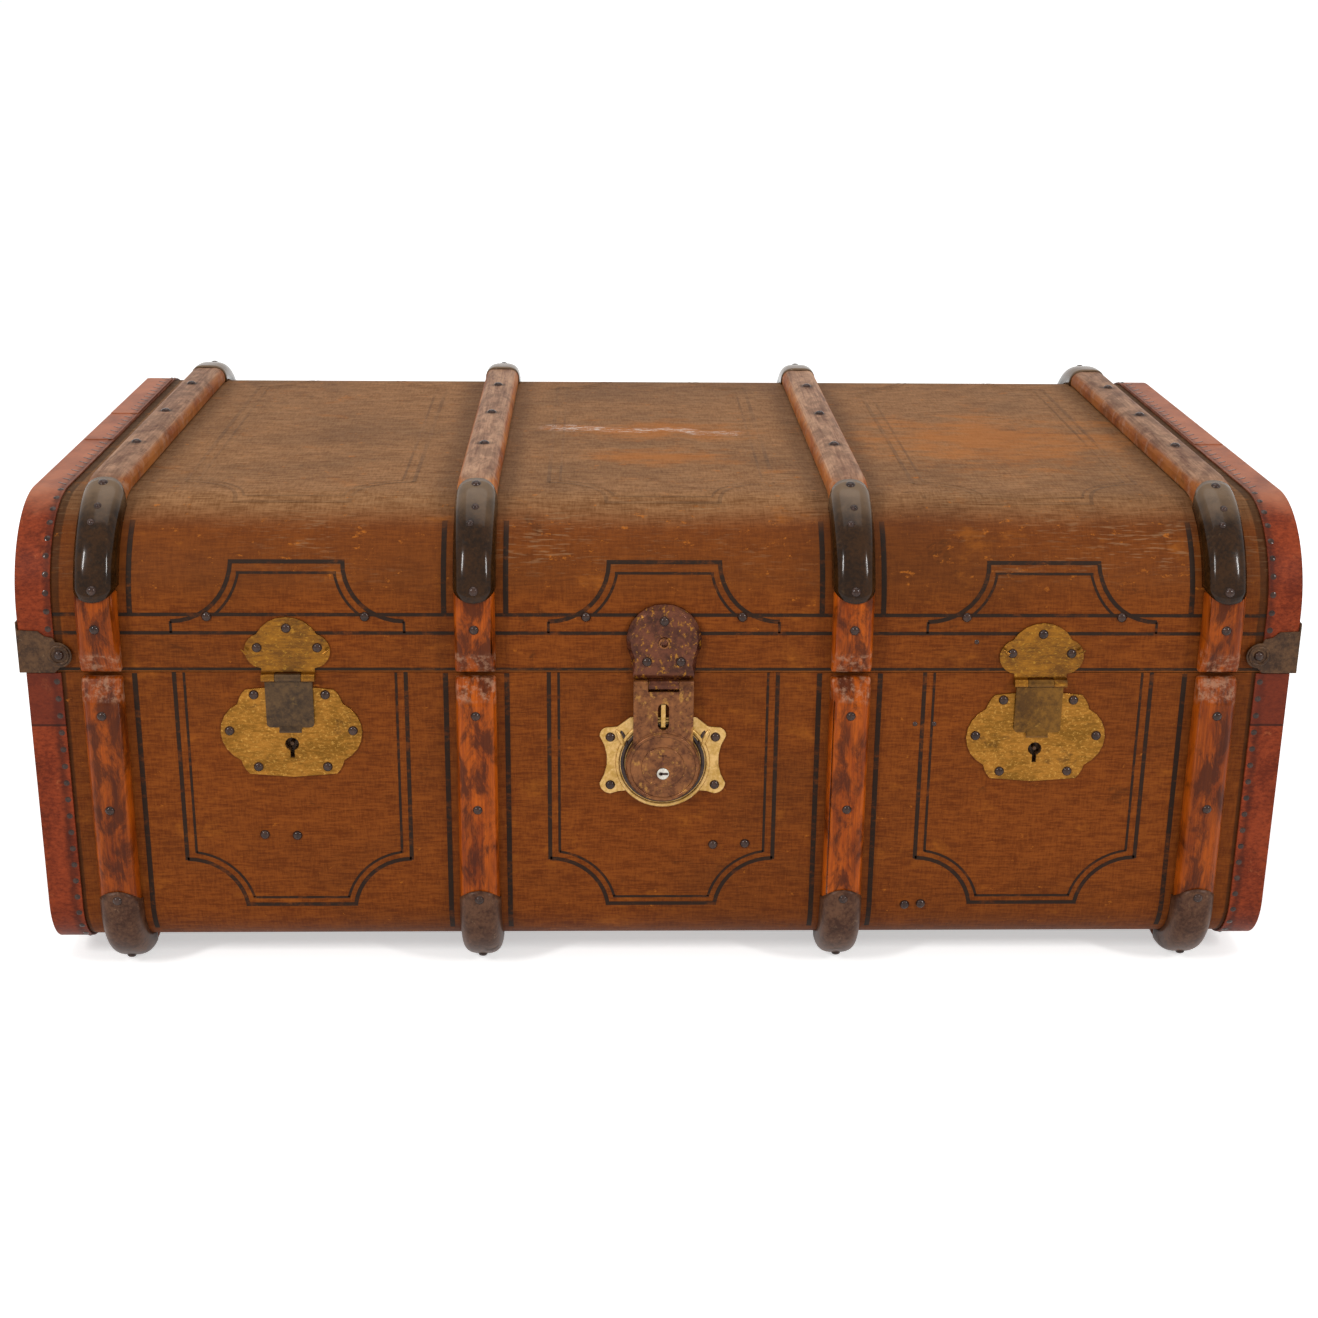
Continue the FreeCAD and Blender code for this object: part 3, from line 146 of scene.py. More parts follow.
def mottle(place, fineness, detail=4.0, rough=0.6, twist=0.0, shift=0.0):
    # fineness is how many features lie in a metre, along X, Y and Z or the same along all three
    fineness = fineness if isinstance(fineness, tuple) else (fineness,) * 3
    moved = addNode("times and moved", place, fineness, (shift, shift * 1.7, shift * 2.3))
    return addNode("noise", moved, 1.0, detail, rough, twist)


def near(value, low, high, soft):
    # 1 where the value lies between low and high, fading over the soft distance outside them
    return addNode("ramp", value, low - soft, low) * addNode("ramp", value, high + soft, high)


def fromSlat(x):
    # how far aside of the middle of the nearest slat a place is
    inner, outer = slatPlaces[2:]
    return abs(abs(abs(x) - (outer + inner) / 2) - (outer - inner) / 2)


def newMaterial(name):
    material = bpy.data.materials.new(name)
    material.use_nodes = True
    tree = material.node_tree
    tree.nodes.clear()
    output, shader = addNode("OutputMaterial", tree=tree), addNode("BsdfPrincipled", tree=tree)
    tree.links.new(shader.outputs[0], output.inputs[0])
    return material, shader, addNode("object place", tree=tree)


def finishMaterial(shader, look, height, depth, strength):
    # the height gives the bump: how deep it is in metres and how strong
    bump = addNode("bump", height, depth, strength)
    for key, value in {**look, "Normal": bump}.items():
        setSocket(height.tree, shader.inputs[key], value)


# Materials

# the smudge colour is dirt in some places and painted shade in others: beside the slats and along the bindings
canvasColours = {
    "frontDark": "5A2807", "frontLight": "7D4012", "topDark": "6E4A2A", "topLight": "AA7E56",
    "edge": "5A3010", "thread": "9A7C5A", "smudgeAndShade": "2A1808", "worn": "A8601C", "lip": "7E4A1E",
    "scuff": "C6BDB4", "stripe": "1D1610",
}
# the threads' pitch and length (the real threads are about 1 mm apart, too fine to show, so they are coarser)
weave = {"pitch": 1.7 * mm, "length": 15 * mm}
# where the look changes, in metres: heights on the wall, then distances from the middle and from a slat
canvasPlaces = {
    "top": (0.344, 0.361), "flatTop": (0.354, 0.3553), "edge": (0.312, 0.345), "threads": (0.295, 0.325),
    "foot": (0.06, 0.0), "lip": (0.2395, 0.2416), "fadedLines": (0.334, 0.350), "bindingShadow": (0.4275, 0.4325),
    "besideSlat": (0.042, 0.02),
}
rubbedSpots = (((0.0, 0.002), (0.11, 0.05)), ((0.27, -0.03), (0.15, 0.13)), ((0.0, -0.09), (0.09, 0.035)))
scuff = {"middle": (-0.012, 0.002), "along": (0.99, -0.141), "half": 0.088, "width": 0.012, "aside": 0.025,
         "wander": 0.05}


def canvasLook(place):
    # canvas painted brown: a fine woven thread, smudges, spots worn orange, and a greyer top, partly rubbed and
    # partly a painted sheen
    c, at = canvasColours, canvasPlaces
    x, y, z = addNode("axes", place)
    fine, coarse = 1 / weave["pitch"], 1 / weave["length"]
    threads = mottle(place, (coarse, fine, fine), 3, 0.75)
    crossed = mottle(place, (fine, coarse * 1.5, coarse * 1.5), 3, 0.75, 0.0, 5.0)
    woven = threads * 0.6 + crossed * 0.4
    streaks = mottle(place, (40, 110, 110), 5, 0.7, 0.0, 3.0)
    clouds = mottle(place, (7, 10, 10), 5, 0.6, 0.3, 1.0)
    onTop = addNode("ramp", z + clouds * 0.012, *at["top"])
    onEdge = near(z, *at["edge"], 0.03)
    light = addNode("ramp", woven * 0.7 + streaks * 0.3, 0.38, 0.62)
    front = addNode("mix", light, c["frontDark"], c["frontLight"])
    # the top's colours are greyer and paler, partly from rubbing and partly as a painted sheen
    top = addNode("mix", light, c["topDark"], c["topLight"])
    colour = addNode("mix", onEdge * 0.45, addNode("mix", onTop, front, top), c["edge"])
    # broad darker clouds, darker still low down on the base, and a painted shade beside the slats on the top
    shade = addNode("ramp", clouds, 0.6, 0.3) * addNode("between", onTop, 0.28, 0.32)
    shade = shade + addNode("ramp", z, *at["foot"]) * 0.2
    slatShade = addNode("ramp", fromSlat(x), *at["besideSlat"]) * onTop * 0.35
    colour = addNode("mix", addNode("larger", shade, slatShade), colour, c["smudgeAndShade"])
    dirt = addNode("ramp", mottle(place, (26, 34, 34), 5, 0.7, 0.5, 12.0), 0.62, 0.74)
    colour = addNode("mix", dirt * 0.45, colour, c["smudgeAndShade"])
    # a painted shadow along the inner edge of each binding, a dark band on the canvas
    colour = addNode("mix", near(abs(x), *at["bindingShadow"], 0.0015) * 0.7, colour, c["smudgeAndShade"])
    # pale threads show through on the edge and the top
    bareThreads = addNode("ramp", mottle(place, (60, fine, fine), 2, 0.7, 0.0, 7.0), 0.54, 0.66)
    patches = addNode("ramp", mottle(place, (10, 16, 16), 4, 0.65, 0.0, 8.0), 0.42, 0.66)
    colour = addNode("mix", bareThreads * patches * addNode("ramp", z, *at["threads"]) * 0.3, colour, c["thread"])
    # spots and short scratches worn to a lighter orange
    spots = mottle(place, (90, 150, 150), 5, 0.75, 0.0, 15.0) + onEdge * 0.035
    rubbed = addNode("ramp", mottle(place, (20, 30, 30), 5, 0.68, 0.0, 18.0), 0.58, 0.76)
    worn = addNode("larger", addNode("ramp", spots, 0.64, 0.72) * 0.65, rubbed * 0.4)
    colour = addNode("mix", worn, colour, c["worn"])
    # larger rubbed patches on the top
    ragged = mottle(place, (24, 60, 60), 5, 0.75, 0.0, 23.0) * 2.4
    for middle, (halfX, halfY) in rubbedSpots:
        away = addNode("times", addNode("from", place, (*middle, 0)), (1 / halfX, 1 / halfY, 0))
        gone = addNode("ramp", addNode("length", away) + ragged, 2.1, 1.3) * onTop
        colour = addNode("mix", gone * 0.5, colour, c["worn"])
    # the lid's lower edge, where the canvas turns in
    lip = near(z, *at["lip"], 0.0004) * mottle(place, 60, 4, 0.7, 0.0, 2.0)
    colour = addNode("mix", lip * 0.7, colour, c["lip"])
    # one long scrape of pale flecks across the top
    u, v = scuff["along"]
    away = addNode("from", place, (*scuff["middle"], 0))
    along = abs(addNode("along", away, (u, v, 0)))
    wander = mottle(place, 18, 2) * scuff["wander"]
    aside = abs(addNode("along", away, (-v, u, 0)) - scuff["aside"] + wander)
    scraped = addNode("ramp", along, scuff["half"], scuff["half"] * 0.85)
    scraped = scraped * addNode("ramp", aside, scuff["width"], scuff["width"] * 0.4)
    scraped = scraped * addNode("ramp", z, *at["flatTop"])
    bare = addNode("ramp", mottle(place, (110, 420, 420), 5, 0.75, 0.8, 21.0), 0.5, 0.6)
    colour = addNode("mix", scraped * bare * 0.8, addNode("mix", scraped * 0.35, colour, c["worn"]), c["scuff"])
    return colour, addNode("between", onTop, 0.5, 0.62) + clouds * 0.12, woven


def makeCanvas():
    material, shader, place = newMaterial("painted canvas")
    colour, rough, woven = canvasLook(place)
    look = {"Base Color": colour, "Roughness": rough, "Specular IOR Level": 0.08}
    finishMaterial(shader, look, woven, 0.0004, 0.5)
    return material


def makeStripePaint():
    # black lining paint, thin in places so that the canvas shows, and nearly gone on the top
    material, shader, place = newMaterial("black lining paint")
    colour, rough, woven = canvasLook(place)
    chips = mottle(place, (160, 300, 300), 4, 0.7, 0.0, 4.0)
    fade = mottle(place, (30, 55, 55), 4, 0.6, 0.0, 7.0)
    thin = addNode("ramp", chips * 0.5 + fade * 0.5, 0.5, 0.68) * 0.65
    gone = addNode("ramp", mottle(place, 9, 3, 0.6, 0.0, 25.0), 0.35, 0.6)
    faded = addNode("ramp", addNode("axes", place)[2], *canvasPlaces["fadedLines"])
    thin = addNode("larger", thin, faded * addNode("between", gone, 0.68, 1.0))
    colour = addNode("mix", addNode("between", thin, 0.06, 0.98), canvasColours["stripe"], colour)
    look = {"Base Color": colour, "Roughness": rough, "Specular IOR Level": 0.1}
    finishMaterial(shader, look, woven, 0.0004, 0.4)
    return material


slatColours = {
    "front": ("722C04", "AC500C"), "top": ("74503C", "B68E70"), "flank": ("8A4214", "B06A2C"), "stain": "361405",
    "bare": "A0785E", "nailRing": "2A1A12",
}
# heights in metres, the line that only the outer slats lie beyond, and the nails' spacing over the top
woodPlaces = {
    "top": (0.335, 0.356), "crown": (0.3655, 0.3695), "overTop": (0.36, 0.365), "outer": (0.30, 0.31),
    "middle": (0.014, 0.006), "ring": (0.0125, 0.006), "nailGap": 0.055, "seam": 0.2393, "sloped": (0.0225, 0.016),
    "face": (0.2800, 0.2780),
}


def makeSlatWood():
    # varnished hardwood: grain along the slat, glossy orange on the front, dull grey-pink over the top
    material, shader, place = newMaterial("varnished hardwood")
    c, at = slatColours, woodPlaces
    x, y, z = addNode("axes", place)
    grain = mottle(place, (650, 22, 22), 4, 0.7, 0.4)
    bands = mottle(place, (90, 14, 14), 4, 0.6, 0.6, 2.0)
    light = addNode("ramp", grain * 0.5 + bands * 0.5, 0.34, 0.64)
    onTop, crown, overTop = [addNode("ramp", z, *at[key]) for key in ("top", "crown", "overTop")]
    front, flank, top = [addNode("mix", light, *c[key]) for key in ("front", "flank", "top")]
    colour = addNode("mix", onTop, front, addNode("mix", crown, flank, top))
    # dark stains where the varnish has soaked in, and long drips along the grain
    aside = fromSlat(x)
    stain = mottle(place, (75, 30, 30), 6, 0.7, 0.5, 5.0) + addNode("ramp", aside, *at["middle"]) * 0.08
    drips = addNode("ramp", mottle(place, (240, 14, 14), 4, 0.65, 0.0, 8.0), 0.52, 0.76)
    stain = addNode("larger", addNode("ramp", stain, 0.46, 0.67), drips * 0.6)
    colour = addNode("mix", stain * addNode("between", onTop, 0.85, 0.5), colour, c["stain"])
    # the two outer slats are darker
    colour = addNode("mix", addNode("ramp", abs(x), *at["outer"]) * 0.2, colour, c["stain"])
    # dark rings about the nails over the top
    along = addNode("spaced", y, at["nailGap"]) * overTop
    away = addNode("length", addNode("joined", aside, along))
    ring = addNode("ramp", away + grain * 0.006, *at["ring"]) * overTop
    colour = addNode("mix", ring * 0.75, colour, c["nailRing"])
    # bare wood in specks on the sloping ends at the seam and along rubbed shoulders
    sloped = addNode("ramp", abs(z - at["seam"]), *at["sloped"]) * addNode("ramp", abs(y), *at["face"])
    specks = addNode("ramp", mottle(place, 160, 5, 0.75, 0.0, 17.0), 0.46, 0.64)
    rubbed = addNode("ramp", mottle(place, 90, 5, 0.75, 0.4, 11.0), 0.5, 0.66)
    bare = addNode("larger", sloped * specks * 0.6, onTop * rubbed * 0.6)
    colour = addNode("mix", bare, colour, c["bare"])
    lumps = mottle(place, (110, 60, 60), 3, 0.6, 0.5, 14.0)
    rough = addNode("between", addNode("larger", onTop, bare), 0.3, 0.6)
    look = {"Base Color": colour, "Roughness": rough, "Specular IOR Level": 0.13}
    finishMaterial(shader, look, grain * 0.35 + lumps * 0.65, 0.0011, 0.5)
    return material


# what a worked surface has unless its own entry says otherwise
plainLook = {
    "twist": 0.0, "dirtAmount": 0.6, "wearAmount": 0.5, "wearFrom": 0.6, "roughSpread": 0.2, "metal": 0.0,
    "gloss": 0.5, "coat": 0.0, "depth": 0.0002, "strength": 0.35, "onTop": "", "tacks": 0,
}
# on the bindings: the height of the older patch over the base's joint, and of the joint itself
bindingPlaces = {"patch": (0.2, 0.2385), "joint": (0.1985, 0.1997), "halo": (0.0085, 0.004), "top": (0.353, 0.379)}


def makeWorked(name, look):
    # one surface of small and broad mottling, with dirt in patches and wear at other spots
    material, shader, place = newMaterial(name)
    look, at = {**plainLook, **look}, bindingPlaces
    dark, light, dirtColour, wearColour = look["colours"]
    small, large, spots = look["grain"]
    fine = mottle(place, small, 4, 0.65, look["twist"])
    broad = mottle(place, large, 4, 0.6, 0.3, 3.0)
    both = fine * 0.5 + broad * 0.5
    dirt = addNode("ramp", mottle(place, large, 5, 0.72, 0.4, 6.0), 0.56, 0.7)
    wear = addNode("ramp", mottle(place, spots, 6, 0.75, 0.2, 9.0), look["wearFrom"], look["wearFrom"] + 0.08)
    colour = addNode("mix", addNode("ramp", both, 0.36, 0.64), dark, light)
    colour = addNode("mix", dirt * look["dirtAmount"], colour, dirtColour)
    colour = addNode("mix", wear * look["wearAmount"], colour, wearColour)
    x, y, z = addNode("axes", place)
    if look["onTop"]:
        # rubbed dull where the surface lies flat on the top
        colour = addNode("mix", addNode("ramp", z + broad * 0.02, *at["top"]) * 0.8, colour, look["onTop"])
    if look["tacks"]:
        # dark haloes in a row where the tacks are, and the older, darker patch above the base's joint
        row = abs(abs(x) - look["tacks"]) + mottle(place, 90, 4, 0.7, 0.0, 4.0) * 0.008
        colour = addNode("mix", addNode("ramp", row, *at["halo"]) * 0.6, colour, dirtColour)
        colour = addNode("mix", near(z, *at["patch"], 0.0005) * 0.6, colour, look["patch"])
        colour = addNode("mix", near(z, *at["joint"], 0.0005) * 0.8, colour, look["joint"])
    rough = both * look["roughSpread"] + (look["rough"] - look["roughSpread"] / 2) + dirt * 0.15
    finish = {"Base Color": colour, "Roughness": rough, "Metallic": look["metal"],
              "Specular IOR Level": look["gloss"], "Coat Weight": look["coat"], "Coat Roughness": 0.06}
    finishMaterial(shader, finish, fine, look["depth"], look["strength"])
    return material


# grain: how many features lie in a metre of the small and of the broad mottling and of the wear;
# colours: dark, light, dirt and wear
worked = {
    # brown lacquer over pressed steel: dark and glossy, greyer where rubbed
    "lacquered steel": {"grain": (420, 60, 150), "colours": ("1C0E03", "341E09", "100702", "7A6244"),
        "wearAmount": 0.12, "rough": 0.16, "roughSpread": 0.06, "coat": 0.14, "gloss": 0.1, "strength": 0.1,
        "onTop": "705A44"},
    "dulled steel": {"grain": (380, 55, 120), "colours": ("382015", "5C3E2C", "22140C", "846850"), "rough": 0.38,
        "metal": 0.05, "gloss": 0.14, "strength": 0.2},
    # sheet brass gone dull: brown gold, rolled in fine lines, with brown specks and paler rubbed spots
    "old sheet brass": {"grain": ((160, 700, 700), (50, 70, 70), (420, 620, 620)),
        "colours": ("664206", "94621F", "34200A", "CE9C4A"), "dirtAmount": 0.5, "wearAmount": 0.4, "wearFrom": 0.54,
        "rough": 0.32, "metal": 0.75, "gloss": 0.4, "strength": 0.35},
    "tarnished brass": {"grain": ((160, 700, 700), (40, 50, 50), (320, 440, 440)),
        "colours": ("583404", "86560E", "2E1C08", "B8882C"), "dirtAmount": 0.5, "wearAmount": 0.4, "wearFrom": 0.55,
        "rough": 0.28, "metal": 0.75, "strength": 0.25},
    "darkened brass": {"grain": (300, (30, 40, 40), (120, 140, 140)),
        "colours": ("442A08", "6C4814", "2A1A08", "946E2C"), "dirtAmount": 0.5, "wearAmount": 0.5, "rough": 0.3,
        "metal": 0.75, "strength": 0.15},
    "dark bronze": {"grain": (300, 45, 160), "colours": ("2E2014", "503A22", "1C120A", "80622F"), "wearAmount": 0.3,
        "rough": 0.3, "metal": 0.7, "strength": 0.12},
    # copper-plated steel browned with age, its plating rubbed back to gold in patches
    "browned copper": {"grain": (240, 60, (300, 240, 240)), "colours": ("36180C", "603420", "1E0D06", "A87018"),
        "dirtAmount": 0.5, "wearAmount": 0.65, "wearFrom": 0.55, "rough": 0.2, "metal": 0.5, "gloss": 0.3,
        "strength": 0.2},
    "worn copper": {"grain": (260, 55, (150, 150, 110)), "colours": ("482410", "7E4E2A", "2C160C", "AC7C38"),
        "dirtAmount": 0.5, "wearAmount": 0.55, "wearFrom": 0.55, "rough": 0.28, "metal": 0.5, "gloss": 0.3,
        "strength": 0.25},
    "pale brass": {"grain": (500, 80, 220), "colours": ("A27C38", "C8A166", "76562A", "D8C08C"), "dirtAmount": 0.35,
        "rough": 0.36, "metal": 0.6, "gloss": 0.4, "strength": 0.2},
    "nickelled steel": {"grain": (700, 120, 300), "colours": ("9A958C", "C6C1B6", "5B5145", "DAD5CA"), "rough": 0.3,
        "metal": 0.8, "strength": 0.15},
    "browned steel": {"grain": (500, 140, 320), "colours": ("20100A", "402A20", "140A06", "7A6252"),
        "wearAmount": 0.2, "rough": 0.2, "metal": 0.1, "gloss": 0.2, "coat": 0.15, "strength": 0.1},
    "black iron": {"grain": (420, 60, 150), "colours": ("2E1B0D", "553A23", "261408", "866A4C"), "wearAmount": 0.4,
        "rough": 0.38, "metal": 0.1, "gloss": 0.2, "strength": 0.35},
    # hard red fibre board bent over the ends: brick red with fine scratches along it
    "vulcanised fibre": {"grain": ((300, 520, 520), (35, 28, 28), (60, 45, 45)),
        "colours": ("581D08", "843618", "2C0E07", "A65C34"), "dirtAmount": 0.45, "wearAmount": 0.35, "rough": 0.5,
        "gloss": 0.12, "strength": 0.3, "tacks": 0.4346, "patch": "4E1E14", "onTop": "B4785A", "joint": "1A0D09"},
    "case board": {"grain": ((60, 700, 700), (12, 40, 40), (80, 160, 160)),
        "colours": ("7A5C3A", "A98A60", "4C3823", "C3AB84"), "rough": 0.75, "gloss": 0.25, "strength": 0.4},
    "lining cloth": {"grain": (900, 9, 40), "colours": ("A48D68", "C9B48F", "7C6442", "D9CBAE"), "dirtAmount": 0.35,
        "rough": 0.85, "gloss": 0.2, "depth": 0.0003, "strength": 0.4},
    "lip beech": {"grain": ((14, 500, 260), (5, 60, 30), (60, 120, 120)),
        "colours": ("8A5A30", "B98750", "543519", "CDA674"), "rough": 0.55, "gloss": 0.3, "strength": 0.3},
    "harness leather": {"grain": (260, 45, 120), "colours": ("3E1F10", "6B3A1E", "241109", "9A6238"), "twist": 1.2,
        "rough": 0.5, "gloss": 0.3, "depth": 0.0006, "strength": 0.5},
    "waxed thread": {"grain": (900, 200, 500), "colours": ("8C7448", "B59A68", "5B4526", "CDB88C"), "rough": 0.7,
        "gloss": 0.3, "strength": 0.3},
}
materials = {name: makeWorked(name, look) for name, look in worked.items()}
materials["painted canvas"] = makeCanvas()
materials["black lining paint"] = makeStripePaint()
materials["varnished hardwood"] = makeSlatWood()
print("materials made")


# Piece helpers

def placeMesh(bm, name, material):
    mesh = bpy.data.meshes.new(name)
    bm.to_mesh(mesh)
    bm.free()
    mesh.materials.append(material)
    placed = bpy.data.objects.new(name, mesh)
    bpy.context.scene.collection.objects.link(placed)
    return placed


def keepPiece(bm, name, body, material, sharp=38):
    piece = placeMesh(bm, name, materials[material])
    piece.data.shade_smooth()
    piece.data.set_sharp_from_angle(angle=math.radians(sharp))
    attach(piece, body)
    return piece


def finishPiece(bm, name, body, material, sharp=38):
    bmesh.ops.recalc_face_normals(bm, faces=bm.faces[:])
    return keepPiece(bm, name, body, material, sharp)


def addBevel(piece, width, segments=2, angle=50):
    bevel = piece.modifiers.new("edges", "BEVEL")
    bevel.width = width
    bevel.segments = segments
    bevel.limit_method = "ANGLE"
    bevel.angle_limit = math.radians(angle)
    bevel.harden_normals = True
    return piece


def nearestSlat(x):
    return min(slatPlaces, key=lambda place: abs(place - x))


def openNodes(nodes):
    # the shape of some of the frame's nodes, with the points that lie together joined
    bm = bmesh.new()
    for node in nodes:
        bm.from_mesh(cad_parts[node].data)
    bmesh.ops.remove_doubles(bm, verts=bm.verts[:], dist=0.002 * mm)
    return bm


def fromCad(nodes, name, body, material, bevel=0.0, segments=2, sharp=38, angle=50, narrow=1.0):
    # a copy of the frame's own pieces, with the corners taken off
    bm = openNodes(nodes)
    bmesh.ops.dissolve_limit(bm, angle_limit=0.005, verts=bm.verts[:], edges=bm.edges[:])
    if narrow != 1:
        for vert in bm.verts:
            middle = nearestSlat(vert.co.x)
            vert.co.x = middle + (vert.co.x - middle) * narrow
    piece = finishPiece(bm, name, body, material, sharp)
    if bevel:
        addBevel(piece, bevel, segments, angle)
    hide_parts(*nodes)
    return piece


def stamp(bm, verts, place, normal, along, size):
    # carries a shape made at the origin to a place, with its Z along the normal
    across = normal.cross(along).normalized()
    along = across.cross(normal).normalized()
    turning = Matrix((along, across, normal)).transposed().to_4x4()
    bmesh.ops.transform(bm, matrix=Matrix.Translation(place) @ turning @ Matrix.Diagonal((*size, 1)), verts=verts)


def addDome(bm, place, normal, radius, height, sides=12, rings=3):
    made = bmesh.ops.create_uvsphere(bm, u_segments=sides, v_segments=rings * 2, radius=1)["verts"]
    low = [v for v in made if v.co.z < -0.001]
    kept = [v for v in made if v.co.z >= -0.001]
    bmesh.ops.delete(bm, geom=low, context="VERTS")
    along = right if abs(normal.x) < 0.9 else up
    stamp(bm, kept, place, normal, along, (radius, radius, height))


def addBlock(bm, place, normal, along, size):
    made = bmesh.ops.create_cube(bm, size=1)["verts"]
    stamp(bm, made, place, normal, along, size)


def islands(node):
    # the low and the high corner of each loose solid in a node
    bm = openNodes([node])
    left, found = set(bm.verts), []
    while left:
        queue, group = [left.pop()], []
        while queue:
            vert = queue.pop()
            group.append(vert.co.copy())
            for edge in vert.link_edges:
                other = edge.other_vert(vert)
                if other in left:
                    left.remove(other)
                    queue.append(other)
        found.append([Vector([least(p[i] for p in group) for i in range(3)]) for least in (min, max)])
    bm.free()
    return sorted(found, key=lambda pair: [round(pair[0][i], 4) for i in (0, 2, 1)])


# The wrapped walls of both halves: a distance from the seam, up the front and round, gives a place

lidLow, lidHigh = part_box("lid_canvas")
baseLow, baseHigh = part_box("base_canvas")
shells = {
    "base": {"rim": baseHigh.z, "edge": baseLow.z, "radius": 41 * mm, "front": baseLow.y, "side": baseHigh.x,
             "way": -1},
    "lid": {"rim": lidLow.z, "edge": lidHigh.z, "radius": 73 * mm, "front": lidLow.y, "side": lidHigh.x, "way": 1},
}


def lengths(shell):
    # of the straight front, the bend and the flat, and of the whole way round
    straight = abs(shell["edge"] - shell["rim"]) - shell["radius"]
    bend, flat = shell["radius"] * math.pi / 2, -(shell["front"] + shell["radius"]) * 2
    return straight, bend, flat, (straight + bend) * 2 + flat


def wrap(shell, x, far, lift=0.0):
    # the point on the wall that lies this far from the seam, and the way out of the wall there
    straight, bend, flat, total = lengths(shell)
    radius, front, way = shell["radius"], shell["front"], shell["way"]
    mirrored = far > total / 2
    if mirrored:
        far = total - far
    if far <= straight:
        place, normal = Vector((x, front, shell["rim"] + far * way)), Vector((0, -1, 0))
    elif far <= straight + bend:
        angle = (far - straight) / radius
        normal = Vector((0, -math.cos(angle), math.sin(angle) * way))
        middle = Vector((x, front + radius, shell["edge"] - radius * way))
        place = middle + normal * radius
    else:
        place = Vector((x, front + radius + far - straight - bend, shell["edge"]))
        normal = Vector((0, 0, way))
    if mirrored:
        place.y, normal.y = -place.y, -normal.y
    return place + normal * lift, normal


# Canvas, boards, lining, lip and bindings

for half in ("base", "lid"):
    fromCad([f"{half}_canvas"], f"{half}Canvas", half, "painted canvas")
    fromCad([f"{half}_wrap_board", f"{half}_end_board_right", f"{half}_end_board_left"], f"{half}Boards", half,
            "case board")
    fromCad([f"{half}_lining"], f"{half}Lining", half, "lining cloth")
fromCad(["base_rim_lip"], "rimLip", "base", "lip beech", 0.8 * mm)

bindingLook = {
    "edge": 0.35 * mm, "width": 23 * mm, "thick": 1.7 * mm, "tackGap": 13 * mm, "tackInset": 3.4 * mm,
    "tack": (2.3 * mm, 0.9 * mm, 8, 1), "clenchGap": 13 * mm, "clench": (8.5 * mm, 1.0 * mm, 0.5 * mm),
    "clenchTurn": 38, "clenchInset": 6 * mm, "lapWidth": 0.98, "lapEdge": 0.3 * mm,
    # lapped pieces on the top: which end, where they start and stop, how far they stand up
    "laps": ((-1, -47 * mm, 45 * mm, 0.9 * mm), (-1, 45 * mm, 190 * mm, 1.8 * mm), (1, -50 * mm, 190 * mm, 0.9 * mm)),
}
look = bindingLook
clenches = bmesh.new()
for half, shell in shells.items():
    straight, bend, flat, total = lengths(shell)
    inner = shell["side"] - look["width"]
    tacks = bmesh.new()
    for side, word in ((-1, "Left"), (1, "Right")):
        fromCad([f"{half}_binding_{word.lower()}"], f"{half}Binding{word}", half, "vulcanised fibre",
                look["edge"])
        count = round(total / look["tackGap"])
        for step in range(count):
            far = total * (step + 0.5) / count
            place, normal = wrap(shell, (inner + look["tackInset"]) * side, far, look["thick"])
            if half == "base" or abs(far - total / 2) > flat / 2:
                addDome(tacks, place, normal, *look["tack"])
            # the row on the end follows the same path, further in
            inward = place - normal * (look["thick"] + look["width"] - look["tackInset"])
            inward.x = (shell["side"] + look["thick"]) * side
            if abs(inward.z - shell["rim"]) > look["width"] / 4:
                addDome(tacks, inward, right * side, *look["tack"])
        count = round(flat / look["clenchGap"]) if half == "lid" else 0
        for step in range(count):
            far = straight + bend + flat * (step + 0.5) / count
            place, normal = wrap(shell, (inner + look["clenchInset"]) * side, far, look["thick"])
            # where a lapped piece lies on the binding, they go through that
            rises = [rise for end, low, high, rise in look["laps"] if end == side and low < place.y < high]
            slant = Matrix.Rotation(math.radians(look["clenchTurn"] * side), 3, normal) @ right
            addBlock(clenches, place + normal * max(rises, default=0), normal, slant, look["clench"])
    finishPiece(tacks, f"{half}Tacks", half, "browned steel")
finishPiece(clenches, "lidClenches", "lid", "browned steel")
laps, shell = bmesh.new(), shells["lid"]
for side, low, high, rise in look["laps"]:
    wide = look["width"] * look["lapWidth"]
    place = Vector(((shell["side"] - wide / 2) * side, (low + high) / 2, shell["edge"] + look["thick"]))
    addBlock(laps, place, up, back, (high - low, wide, rise * 2))
addBevel(finishPiece(laps, "lidBindingLaps", "lid", "vulcanised fibre"), look["lapEdge"])
print("walls and bindings made")


# Painted lines: strokes drawn flat, along X and away from the seam, and then laid on the wall

def strokeLine(bm, start, end, width, reach=0.0):
    (x0, y0), (x1, y1) = start, end
    length = math.hypot(x1 - x0, y1 - y0)
    cuts = max(1, round(length / (5 * mm)))
    made = bmesh.ops.create_grid(bm, x_segments=cuts, y_segments=1, size=0.5)["verts"]
    placed = (Matrix.Translation(((x0 + x1) / 2, (y0 + y1) / 2, 0))
              @ Matrix.Rotation(math.atan2(y1 - y0, x1 - x0), 4, "Z")
              @ Matrix.Diagonal((length + reach * 2, width, 1, 1)))
    bmesh.ops.transform(bm, matrix=placed, verts=made)


def strokeArc(bm, middle, radius, start, sweep, width):
    toward = Vector((math.cos(start), math.sin(start), 0))
    centre = Vector((*middle, 0))
    ends = [bm.verts.new(centre + toward * (radius + width * side / 2)) for side in (-1, 1)]
    edge = bm.edges.new(ends)
    bmesh.ops.spin(bm, geom=[*ends, edge], cent=centre, axis=(0, 0, 1), angle=sweep, steps=10, use_duplicate=False)


